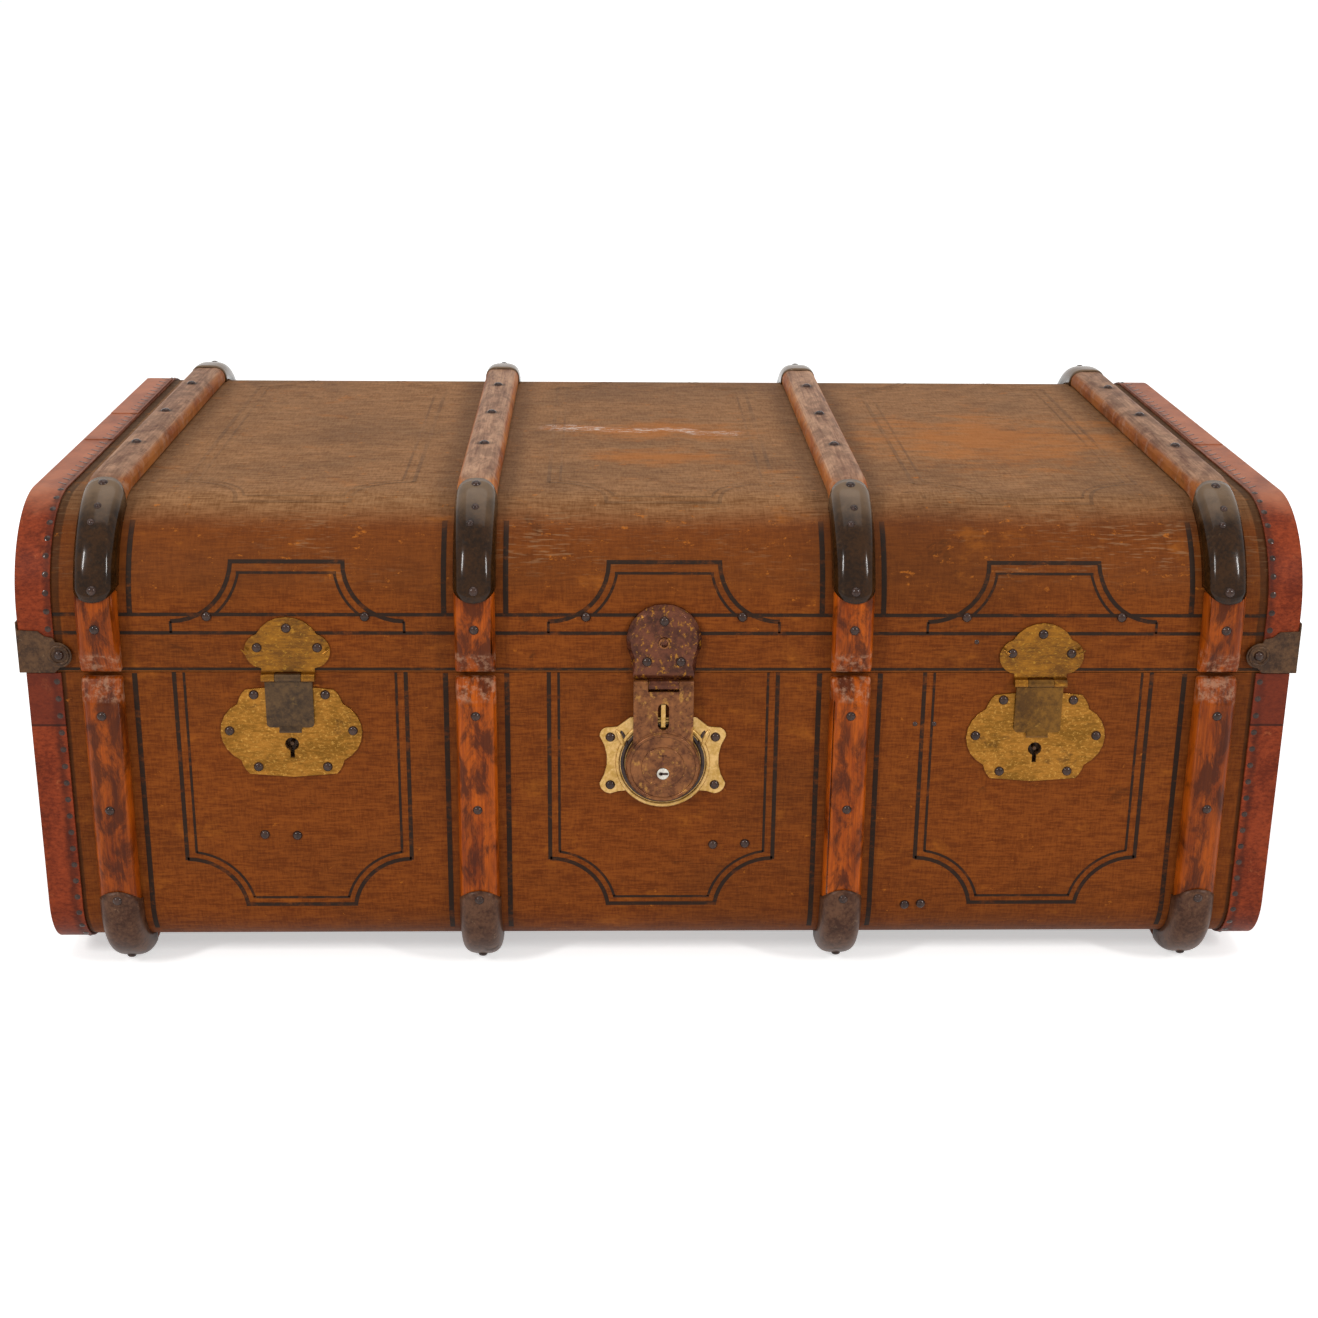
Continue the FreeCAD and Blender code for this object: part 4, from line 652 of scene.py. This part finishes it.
def strokeCorner(bm, corner, reach, way, towards, aside, along, width):
    # an arc about a panel's corner, from the line that lies this far along to the one this far aside
    first = math.atan2(along * towards, -math.sqrt(reach ** 2 - along ** 2) * way)
    last = math.atan2(math.sqrt(reach ** 2 - aside ** 2) * towards, -aside * way)
    strokeArc(bm, corner, reach, first, (last - first + math.pi) % (math.pi * 2) - math.pi, width)


def layOn(bm, shell, lift):
    for vert in bm.verts:
        vert.co = wrap(shell, vert.co.x, vert.co.y, lift)[0]
    middle = Vector((0, 0, (shell["rim"] + shell["edge"]) / 2))
    for face in bm.faces:
        face.normal_update()
        outward = face.calc_center_median() - middle
        outward.x = 0
        if face.normal.dot(outward) < 0:
            face.normal_flip()


lineSizes = {
    "lift": 0.15 * mm, "seam": 0.5 * mm, "bays": (-267.5 * mm, 0, 271.5 * mm), "outer": 3.0 * mm, "inner": 1.9 * mm,
    "upright": 3.7 * mm, "uprightAside": 22 * mm, "uprightFoot": 30 * mm, "uprightTop": 0.62, "half": 82.5 * mm,
    "radius": 43 * mm, "innerRadius": 49 * mm, "rounder": 0.7, "dip": 6 * mm, "inset": 7 * mm,
    "lidLevels": ((282.5 * mm, 2.6 * mm), (268.8 * mm, 2.6 * mm), (241.6 * mm, 2.2 * mm)), "lidTop": 320.5 * mm,
    "lidInnerTop": 312.5 * mm, "lidFoot": 277.5 * mm, "baseLow": 55.5 * mm,
    "topHalf": 84 * mm, "topInset": 8.5 * mm, "topLow": 374 * mm,
}


def drawUprights(bm, low, high):
    # beside each slat, but not on the outer side of the last ones
    for slat in slatPlaces:
        for way in (-1, 1):
            x = slat + lineSizes["uprightAside"] * way
            if abs(x) < abs(slatPlaces[0]):
                strokeLine(bm, (x, low), (x, high), lineSizes["upright"])


def drawLid():
    bm = bmesh.new()
    z = lineSizes
    rim, side = shells["lid"]["rim"], shells["lid"]["side"] - bindingLook["width"]
    straight, bend, _, total = lengths(shells["lid"])
    for level, width in z["lidLevels"]:
        strokeLine(bm, (-side, level - rim), (side, level - rim), width)
    for middle in z["bays"]:
        half, radius = z["half"], z["radius"]
        flat, foot = half - radius, z["lidFoot"] - rim
        high, low = z["lidTop"] - rim, z["lidInnerTop"] - rim
        strokeLine(bm, (middle - flat, high), (middle + flat, high), z["outer"], z["outer"] / 2)
        innerFlat = flat - z["inset"] * 0.75
        strokeLine(bm, (middle - innerFlat, low), (middle + innerFlat, low), z["inner"], z["inner"] / 2)
        for way in (-1, 1):
            corner = (middle + half * way, high)
            start = 0 if way < 0 else math.pi
            strokeArc(bm, corner, radius, start, math.pi / 2 * way, z["outer"])
            inside = radius + z["inset"] * 0.9
            dip = math.asin((high - low) / inside)
            stop = math.asin((high - (z["lidLevels"][0][0] - rim)) / inside)
            strokeArc(bm, corner, inside, start + dip * way, (stop - dip) * way, z["inner"])
            strokeLine(bm, (corner[0], foot), (corner[0], z["lidLevels"][1][0] - rim), z["inner"])
        # the faded panel over the top, the same at the front and at the back
        for inset, width in ((0, z["outer"]), (z["topInset"], z["inner"])):
            half = z["topHalf"] - inset
            begin = z["topLow"] - rim + inset
            # the inner corners are rounder, and meet the two inner lines this far from the corner
            reach = radius + inset * z["rounder"]
            meet = math.sqrt(reach ** 2 - inset ** 2)
            for far, towards in ((begin, 1), (total - begin, -1)):
                flat = z["topHalf"] - meet
                strokeLine(bm, (middle - flat, far), (middle + flat, far), width, width / 2)
                for way in (-1, 1):
                    corner = (middle + z["topHalf"] * way, far - inset * towards)
                    strokeCorner(bm, corner, reach, way, towards, inset, inset, width)
            for way in (-1, 1):
                x, foot = middle + half * way, begin - inset + meet
                strokeLine(bm, (x, foot), (x, total - foot), width)
    drawUprights(bm, z["lidLevels"][0][0] - rim, straight + bend * z["uprightTop"])
    layOn(bm, shells["lid"], z["lift"])
    keepPiece(bm, "lidLines", "lid", "black lining paint")


def drawBase():
    bm = bmesh.new()
    z = lineSizes
    rim = shells["base"]["rim"]
    for middle in z["bays"]:
        for inset, width in ((0, z["outer"]), (z["inset"], z["inner"])):
            reach = z["innerRadius"] if inset else z["radius"]
            low = rim - z["baseLow"] - inset * 0.82
            centreLow = rim - z["baseLow"] + z["dip"]
            # where the corner's arc meets the bottom line and the side line
            across = math.sqrt(reach ** 2 - (centreLow - low) ** 2)
            upward = math.sqrt(reach ** 2 - inset ** 2)
            flat, sideLow = z["half"] - across, centreLow - upward
            strokeLine(bm, (middle - flat, low), (middle + flat, low), width, width / 2)
            for way in (-1, 1):
                corner = (middle + z["half"] * way, centreLow)
                strokeCorner(bm, corner, reach, way, -1, inset, centreLow - low, width)
                x = middle + (z["half"] - inset) * way
                strokeLine(bm, (x, z["seam"]), (x, sideLow), width, width / 4)
    drawUprights(bm, z["seam"], rim - z["uprightFoot"])
    layOn(bm, shells["base"], z["lift"])
    keepPiece(bm, "baseLines", "base", "black lining paint")


drawLid()
drawBase()
print("painted lines laid")


# Slats, clamps and shoes

slatSizes = {"round": 2.2 * mm, "narrow": 0.93}


def makeSlats(nodes, name, body):
    return fromCad(nodes, name, body, "varnished hardwood", slatSizes["round"], 3, 38, 25,
                   slatSizes["narrow"])


makeSlats([f"lid_front_slat_{n}" for n in range(1, 5)], "lidFrontSlats", "lid")
makeSlats([f"lid_top_slat_{n}" for n in range(1, 5)], "lidTopSlats", "lid")
makeSlats([f"base_front_slat_{n}" for n in range(1, 5)], "baseFrontSlats", "base")
makeSlats(["lid_back_slats"], "lidBackSlats", "lid")
makeSlats(["base_back_slats"], "baseBackSlats", "base")
makeSlats(["base_bottom_slats"], "bottomSlats", "base")

clampSizes = {
    "half": 15.4 * mm, "high": 16.6 * mm, "crown": 3.0, "sides": 18, "sheet": 1.1 * mm, "nose": 12 * mm, "steps": 22,
    "lidAngles": (8.5, 76), "lidRadius": 73.1 * mm, "lidAxis": (192 * mm, 282.5 * mm), "overTop": 13 * mm,
    "baseRadius": 41.1 * mm, "baseAxis": (224 * mm, 57.5 * mm), "tail": 16 * mm, "under": 5 * mm,
}


def capStrip(bm):
    # the cap's section, a rounded arch from foot to foot
    z = clampSizes
    points = []
    for step in range(z["sides"] + 1):
        angle = math.pi * step / z["sides"]
        x, y = math.cos(angle), abs(math.sin(angle))
        points.append((-math.copysign(abs(x) ** (2 / z["crown"]), x) * z["half"], y ** (2 / z["crown"]) * z["high"]))
    verts = [bm.verts.new((x, 0, y)) for x, y in points]
    return verts + [bm.edges.new(pair) for pair in zip(verts, verts[1:])]


def makeCaps(name, body, material, side, leads, angles):
    # drawn straight along Y with its height along Z, rounded at both ends and then bent about the edge
    z, way = clampSizes, shells[body]["way"]
    radius, (out, level) = z[f"{body}Radius"], z[f"{body}Axis"]
    bm = bmesh.new()
    first, last = [math.radians(a) for a in angles]
    middle = radius + z["high"] * 0.5
    bent = (last - first) * middle
    length = bent + sum(leads)
    row = capStrip(bm)
    bmesh.ops.spin(bm, geom=row, cent=(0, 0, 0), axis=(0, 0, 1), dvec=(0, length / z["steps"], 0), angle=0,
                   steps=z["steps"])
    for vert in bm.verts:
        wide = min(1, abs(vert.co.x) / z["half"])
        nose = z["nose"] * (1 - math.sqrt(1 - wide ** 2))
        along = nose + vert.co.y * (length - nose * 2) / length
        high = radius + vert.co.z
        angle = first + min(max(along - leads[0], 0), bent) / middle
        over = min(along - leads[0], 0) + max(along - leads[0] - bent, 0)
        normal = Vector((0, -math.cos(angle), math.sin(angle) * way))
        onward = Vector((0, math.sin(angle), math.cos(angle) * way))
        place = Vector((0, -out, level)) + normal * high + onward * over
        vert.co = Vector((vert.co.x, place.y * side, place.z))
    mesh = bpy.data.meshes.new("cap")
    bm.to_mesh(mesh)
    bm.free()
    whole = bmesh.new()
    for place in slatPlaces:
        known = set(whole.verts)
        whole.from_mesh(mesh)
        fresh = [v for v in whole.verts if v not in known]
        bmesh.ops.translate(whole, verts=fresh, vec=(place, 0, 0))
    for face in whole.faces:
        face.normal_update()
        centre = face.calc_center_median()
        outward = centre - Vector((nearestSlat(centre.x), -out * side, level))
        if face.normal.dot(outward) < 0:
            face.normal_flip()
    piece = keepPiece(whole, name, body, material, 60)
    shell = piece.modifiers.new("sheet", "SOLIDIFY")
    shell.thickness = z["sheet"]
    shell.offset = -1
    return piece


sizes = clampSizes
for side, word in ((1, "front"), (-1, "back")):
    # the back ones reach a little over the top
    angles, over = (sizes["lidAngles"], 0) if side > 0 else ((sizes["lidAngles"][0], 90), sizes["overTop"])
    clamps = makeCaps(f"{word}Clamps", "lid", "lacquered steel", side, (0, over), angles)
    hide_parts(f"lid_{word}_clamps")
    shoes = makeCaps(f"{word}Shoes", "base", "dulled steel", side, (sizes["tail"], sizes["under"]), (0, 90))
    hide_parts(f"base_{word}_shoes")
print("slats and clamps made")


# Nails in the slats and domed rivets in the hardware

nailSizes = {
    "large": (3.5 * mm, 2.0 * mm), "small": (2.7 * mm, 2.0 * mm), "top": (3.9 * mm, 2.6 * mm), "sunk": 0.2 * mm,
    # how far out and how high those in the slats' faces are, and how far along those over the top are
    "lidFace": ((280.2 * mm, 276 * mm),), "topPlaces": (-110 * mm, 0, 110 * mm), "topHigh": 370.4 * mm,
    "baseFace": ((280.2 * mm, 211 * mm), (280.2 * mm, 138 * mm), (281.6 * mm, 66.5 * mm)),
    # in the clamps and the shoes: the angle above level, how far aside, and the size
    "clamp": ((14, 0, "large"), (46, -2.5 * mm, "small"), (55, 0.5 * mm, "small"), (71, 0, "large")), "shoe": -60,
    # small stray nails in the canvas: across, up, and which half they are in
    "stray": ((183.7 * mm, 199.3 * mm, "base"), (197.6 * mm, 199.3 * mm, "base"), (225 * mm, 262.4 * mm, "lid")),
    "straySize": (1.9 * mm, 0.9 * mm, 8, 2), "rivetRise": 2.4 * mm, "footNails": 40 * mm, "footShare": 0.6,
}
nails = {"lid": bmesh.new(), "base": bmesh.new()}


def addCapNail(half, x, side, angle, size, sunk=0.0):
    # through a clamp of the lid or a shoe of the base
    turn, (out, high) = math.radians(angle), clampSizes[f"{half}Axis"]
    normal = Vector((0, -math.cos(turn) * side, math.sin(turn)))
    reach = clampSizes[f"{half}Radius"] + clampSizes["high"] - sunk
    addDome(nails[half], Vector((x, -out * side, high)) + normal * reach, normal, *size)


sizes = nailSizes
for slat in slatPlaces:
    for side in (1, -1):
        for half, bm in nails.items():
            for out, high in sizes[f"{half}Face"]:
                addDome(bm, Vector((slat, -out * side, high)), back * -side, *sizes["large"])
        for angle, aside, size in sizes["clamp"]:
            addCapNail("lid", slat + aside, side, angle, sizes[size], sizes["sunk"])
        addCapNail("base", slat, side, sizes["shoe"], sizes["large"])
    for y in sizes["topPlaces"]:
        addDome(nails["lid"], Vector((slat, y, sizes["topHigh"])), up, *sizes["top"])
for x, high, half in sizes["stray"]:
    addDome(nails[half], Vector((x, shells[half]["front"], high)), -back, *sizes["straySize"])
for half, bm in nails.items():
    finishPiece(bm, f"{half}Nails", half, "browned steel", 60)

for half in ("lid", "base"):
    heads = bmesh.new()
    for low, high in islands(f"{half}_rivets"):
        side = -1 if low.y < 0 else 1
        place = (low + high) / 2
        place.y = high.y if side < 0 else low.y
        # the two by the right-hand foot of the base are only small nails
        share = sizes["footShare"] if high.z < sizes["footNails"] and half == "base" else 1
        addDome(heads, place, back * side, (high.x - low.x) / 2 * share, sizes["rivetRise"] * share, 16, 4)
    piece = finishPiece(heads, f"{half}Rivets", half, "browned steel", 60)
    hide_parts(f"{half}_rivets")
print("nails and rivets made")


# Locks, hasps and hinges

fromCad(["hasp_plates"], "haspPlates", "lid", "tarnished brass", 0.35 * mm)
fromCad(["hasp_flap_left"], "haspFlapLeft", "hasp_flap_left", "dark bronze", 0.4 * mm)
fromCad(["hasp_flap_right"], "haspFlapRight", "hasp_flap_right", "darkened brass", 0.4 * mm)
fromCad(["lock_plates"], "lockPlates", "base", "old sheet brass", 0.35 * mm)
fromCad(["lock_cases"], "lockCases", "base", "black iron", 0.2 * mm)
fromCad(["hasp_pins"], "haspPins", "lid", "old sheet brass")
fromCad(["centre_hasp_plate"], "centreDome", "lid", "browned copper", 1.1 * mm, 4, 45, 30)
fromCad(["centre_hasp"], "centreHasp", "centre_hasp", "worn copper", 0.5 * mm, 3, 45, 30)
fromCad(["key_plug"], "keyPlug", "key_plug", "nickelled steel", 0.25 * mm)
fromCad(["centre_lock_plate"], "centrePlate", "base", "pale brass", 0.4 * mm)
fromCad(["centre_staple"], "staple", "base", "pale brass", 1.1 * mm, 3)
fromCad(["lid_corner_brackets"], "cornerBrackets", "lid", "black iron", 0.35 * mm)
fromCad(["lid_hinge_leaves"], "lidHingeLeaves", "lid", "black iron", 0.3 * mm)
fromCad(["base_hinge_leaves"], "baseHingeLeaves", "base", "black iron", 0.3 * mm)
fromCad(["hinge_pins"], "hingePins", "base", "browned steel")


def addRing(bm, middle, radius, thick, rise, steps=48):
    # a raised round bead that faces forwards
    made = bmesh.ops.create_circle(bm, cap_ends=False, radius=1, segments=10)
    placed = Matrix.Translation(middle + right * radius) @ Matrix.Diagonal((thick, rise, 1, 1))
    bmesh.ops.transform(bm, matrix=placed, verts=made["verts"])
    edges = list({e for v in made["verts"] for e in v.link_edges})
    bmesh.ops.spin(bm, geom=[*made["verts"], *edges], cent=middle, axis=(0, 1, 0), angle=math.pi * 2, steps=steps,
                   use_merge=True)


hardwareSizes = {
    # beads: radius, width and rise, the flat dark ring among them being painted shade; scoops, the dark ovals of
    # painted shade in them, and horns: half sizes
    "discRim": (25 * mm, 1.5 * mm, 1.1 * mm), "discGroove": (14.8 * mm, 1.0 * mm, 0.9 * mm), "discIn": 0.7 * mm,
    "plateRim": (33 * mm, 1.7 * mm, 1.3 * mm), "plateShadeRing": (29.3 * mm, 1.6 * mm, 0.35 * mm), "axis": 169.5 * mm,
    "bracket": (6.6 * mm, 1.1 * mm, 0.9 * mm), "dimple": (3.4 * mm, 0.7 * mm, 0.5 * mm), "dimpleHigh": 263.5 * mm,
    "scoop": (7.5 * mm, 2.2 * mm, 2.0 * mm), "scoopAside": 30.8 * mm, "scoopHigh": 189 * mm, "scoopTurn": 24,
    "scoopShade": (6.5 * mm, 1.6 * mm, 0.8 * mm), "scoopShadeAside": 27.9 * mm,
    "horn": (2.6 * mm, 1.3 * mm, 0.8 * mm), "hornHigh": 256.6 * mm, "hornTurn": 48, "hornIn": 0.6 * mm,
    "hornTip": 0.25, "hornPairs": ((-298.4 * mm, -240.2 * mm), (245.6 * mm, 300.8 * mm)),
    # bars: right of the plug's middle, above it, width and height
    "keySlotShade": ((1.0 * mm, 0, 5.6 * mm, 1.5 * mm), (-1.4 * mm, 0, 2.0 * mm, 2.4 * mm)), "barDepth": 0.5 * mm,
    "discMark": ((0, 10.5 * mm, 1.2 * mm, 7 * mm), (0, 14 * mm, 5.5 * mm, 1.0 * mm)),
}
sizes = hardwareSizes


def frontOf(node, x, high, inward=0.0):
    # a place on the front face of a node
    return Vector((x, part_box(node)[0].y + inward, high))


def leaning(angle):
    return Matrix.Rotation(math.radians(angle), 3, back) @ up


def makeBeads(name, body, material, beads, steps=48):
    bm = bmesh.new()
    for middle, size in beads:
        addRing(bm, middle, *size, steps)
    finishPiece(bm, name, body, material, 60)


discMiddle = frontOf("centre_hasp", 0, sizes["axis"], sizes["discIn"])
makeBeads("discBeads", "centre_hasp", "worn copper",
          [(discMiddle, sizes[key]) for key in ("discRim", "discGroove")])
makeBeads("domeDimple", "lid", "worn copper",
          [(frontOf("centre_hasp_plate", 0, sizes["dimpleHigh"]), sizes["dimple"])], 24)
# the plate's raised ring and two scoops, then a flat dark ring and two dark ovals, painted shade in the gap and in
# the scoops
for name, material, ring, scoop in (("centrePlateRelief", "pale brass", "plateRim", "scoop"),
                                    ("centrePlateShade", "browned steel", "plateShadeRing", "scoopShade")):
    bm = bmesh.new()
    addRing(bm, frontOf("centre_lock_plate", 0, sizes["axis"]), *sizes[ring])
    for way in (-1, 1):
        made = bmesh.ops.create_uvsphere(bm, u_segments=16, v_segments=10, radius=1)["verts"]
        place = frontOf("centre_lock_plate", sizes[f"{scoop}Aside"] * way, sizes["scoopHigh"])
        stamp(bm, made, place, -back, leaning(sizes["scoopTurn"] * way), sizes[scoop])
    finishPiece(bm, name, "base", material, 60)
# the key plug's slot, a dark bar of painted shade in place of a hole, and the small mark over it
low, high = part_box("key_plug")
for name, body, material, slot in (("keySlotShade", "key_plug", "browned steel", "plug_steel"),
                                   ("discMark", "centre_hasp", "browned copper", "hasp_copper")):
    bm = bmesh.new()
    for aside, above, wide, tall in sizes[name]:
        place = frontOf(body, aside, (low.z + high.z) / 2 + above)
        addBlock(bm, place, -back, right, (wide, tall, sizes["barDepth"]))
    finishPiece(bm, name, body, material, 60)
# the small spurs at the shoulders of the upper plates
bm = bmesh.new()
for pair in sizes["hornPairs"]:
    for way, x in zip((-1, 1), pair):
        made = bmesh.ops.create_cone(bm, cap_ends=True, segments=10, radius1=1, radius2=sizes["hornTip"], depth=2)
        bmesh.ops.rotate(bm, verts=made["verts"], cent=(0, 0, 0), matrix=Matrix.Rotation(math.pi / 2, 3, "Y"))
        stamp(bm, made["verts"], frontOf("hasp_plates", x, sizes["hornHigh"], sizes["hornIn"]), -back,
              leaning(sizes["hornTurn"] * way), sizes["horn"])
finishPiece(bm, "plateSpurs", "lid", "tarnished brass", 60)
beads = []
for low, high in islands("lid_rivets"):
    # those of the corner brackets lie beyond the outer slats
    if abs(low.x) > slatPlaces[3]:
        middle = (low + high) / 2
        middle.y = high.y if middle.y < 0 else low.y
        beads.append((middle, sizes["bracket"]))
makeBeads("bracketRings", "lid", "black iron", beads, 24)
print("hardware made")


# End handles

handleSizes = {
    "edge": 2.6 * mm, "stitchGap": 5 * mm, "stitch": (3.2 * mm, 0.7 * mm, 0.6 * mm), "inset": 2.6 * mm,
    "ends": 24 * mm, "strap": 16 * mm,
}
sizes = handleSizes
fromCad(["handle_loops"], "handleLoops", "base", "black iron", 0.3 * mm)
for side, word in ((1, "right"), (-1, "left")):
    fromCad([f"handle_{word}"], f"handle{word.title()}", f"handle_{word}", "harness leather",
            sizes["edge"], 3)
    low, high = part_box(f"handle_{word}")
    bm = bmesh.new()
    reach = high.y - sizes["ends"]
    count = round(reach * 2 / sizes["stitchGap"])
    for step in range(count):
        y = -reach + reach * 2 * (step + 0.5) / count
        for level in (low.z + sizes["inset"], low.z + sizes["strap"] - sizes["inset"]):
            for face, out in ((high.x, 1), (low.x, -1)):
                addBlock(bm, Vector((face, y, level)), right * out, back, sizes["stitch"])
    finishPiece(bm, f"stitches{word.title()}", f"handle_{word}", "waxed thread")
print("handles made")


# Floor, light and camera

stageSizes = {"half": 60, "drop": 0.5 * mm, "glow": 0.5, "white": 1.0, "light": 0.6}


def seenDirectly(tree):
    # 1 for what the camera, a gloss or a clear thing sees, which is kept white apart from the light
    camera, clear, glossy = addNode("rays", tree=tree)
    return addNode("larger", addNode("larger", camera, clear), glossy)


def makeStage():
    material, shader, place = newMaterial("pale paper floor")
    tone = mottle(place, 3, 3, 0.5)
    look = {"Base Color": addNode("mix", tone, "F1F1F0", "F6F6F5"), "Roughness": 0.8, "Specular IOR Level": 0.1,
            "Emission Color": "FFFFFF", "Emission Strength": seenDirectly(place.tree) * stageSizes["glow"]}
    finishMaterial(shader, look, tone, 0.0001, 0.05)
    bm = bmesh.new()
    bmesh.ops.create_grid(bm, x_segments=1, y_segments=1, size=stageSizes["half"])
    floor = placeMesh(bm, "floor", material)
    floor.location.z = -stageSizes["drop"]
    floor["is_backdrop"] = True


lightTable = {
    # place, what it faces, width and height in metres, power in watts
    "key": ((-1.9, -2.1, 1.9), (0, 0, 0.2), (0.25, 0.8), 40),
    "fill": ((2.0, -2.0, 1.7), (0, 0, 0.2), (0.22, 0.75), 32),
    "over": ((0.0, 0.2, 3.2), (0, 0, 0.2), (2.4, 2.4), 28),
}


def makeLights():
    for name, (place, target, size, power) in lightTable.items():
        light = bpy.data.lights.new(name, "AREA")
        light.shape = "RECTANGLE"
        light.size, light.size_y = size
        light.energy = power
        lamp = bpy.data.objects.new(name, light)
        lamp.location = place
        lamp.rotation_euler = (Vector(target) - Vector(place)).to_track_quat("-Z", "Y").to_euler()
        bpy.context.scene.collection.objects.link(lamp)
    world = bpy.context.scene.world or bpy.data.worlds.new("studio")
    bpy.context.scene.world = world
    world.use_nodes = True
    tree = world.node_tree
    tree.nodes.clear()
    output = addNode("OutputWorld", tree=tree)
    shown = addNode("background", "FFFFFF", stageSizes["white"], tree=tree)
    lit = addNode("background", "F6F6F6", stageSizes["light"], tree=tree)
    setSocket(tree, output.inputs[0], addNode("mixed shaders", seenDirectly(tree), lit, shown))


cameraSizes = {
    "lens": 55.18, "sensor_width": 36, "shift_y": 0.00425, "clip_end": 200,
    "place": (-0.0451, -1.6324, 0.7287), "turn": (70.529, -0.5817, -1.5423),
}


def makeCamera():
    data = bpy.data.cameras.new("camera")
    for name in ("lens", "sensor_width", "shift_y", "clip_end"):
        setattr(data, name, cameraSizes[name])
    camera = bpy.data.objects.new("camera", data)
    camera.location = cameraSizes["place"]
    camera.rotation_euler = [math.radians(angle) for angle in cameraSizes["turn"]]
    bpy.context.scene.collection.objects.link(camera)
    bpy.context.scene.camera = camera
    bpy.context.scene.view_settings.view_transform = "Standard"


makeStage()
makeLights()
makeCamera()

sizes = {"cad": [list(p) for p in cadBox], "visual": [list(p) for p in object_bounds()]}
print("stage made", sizes)
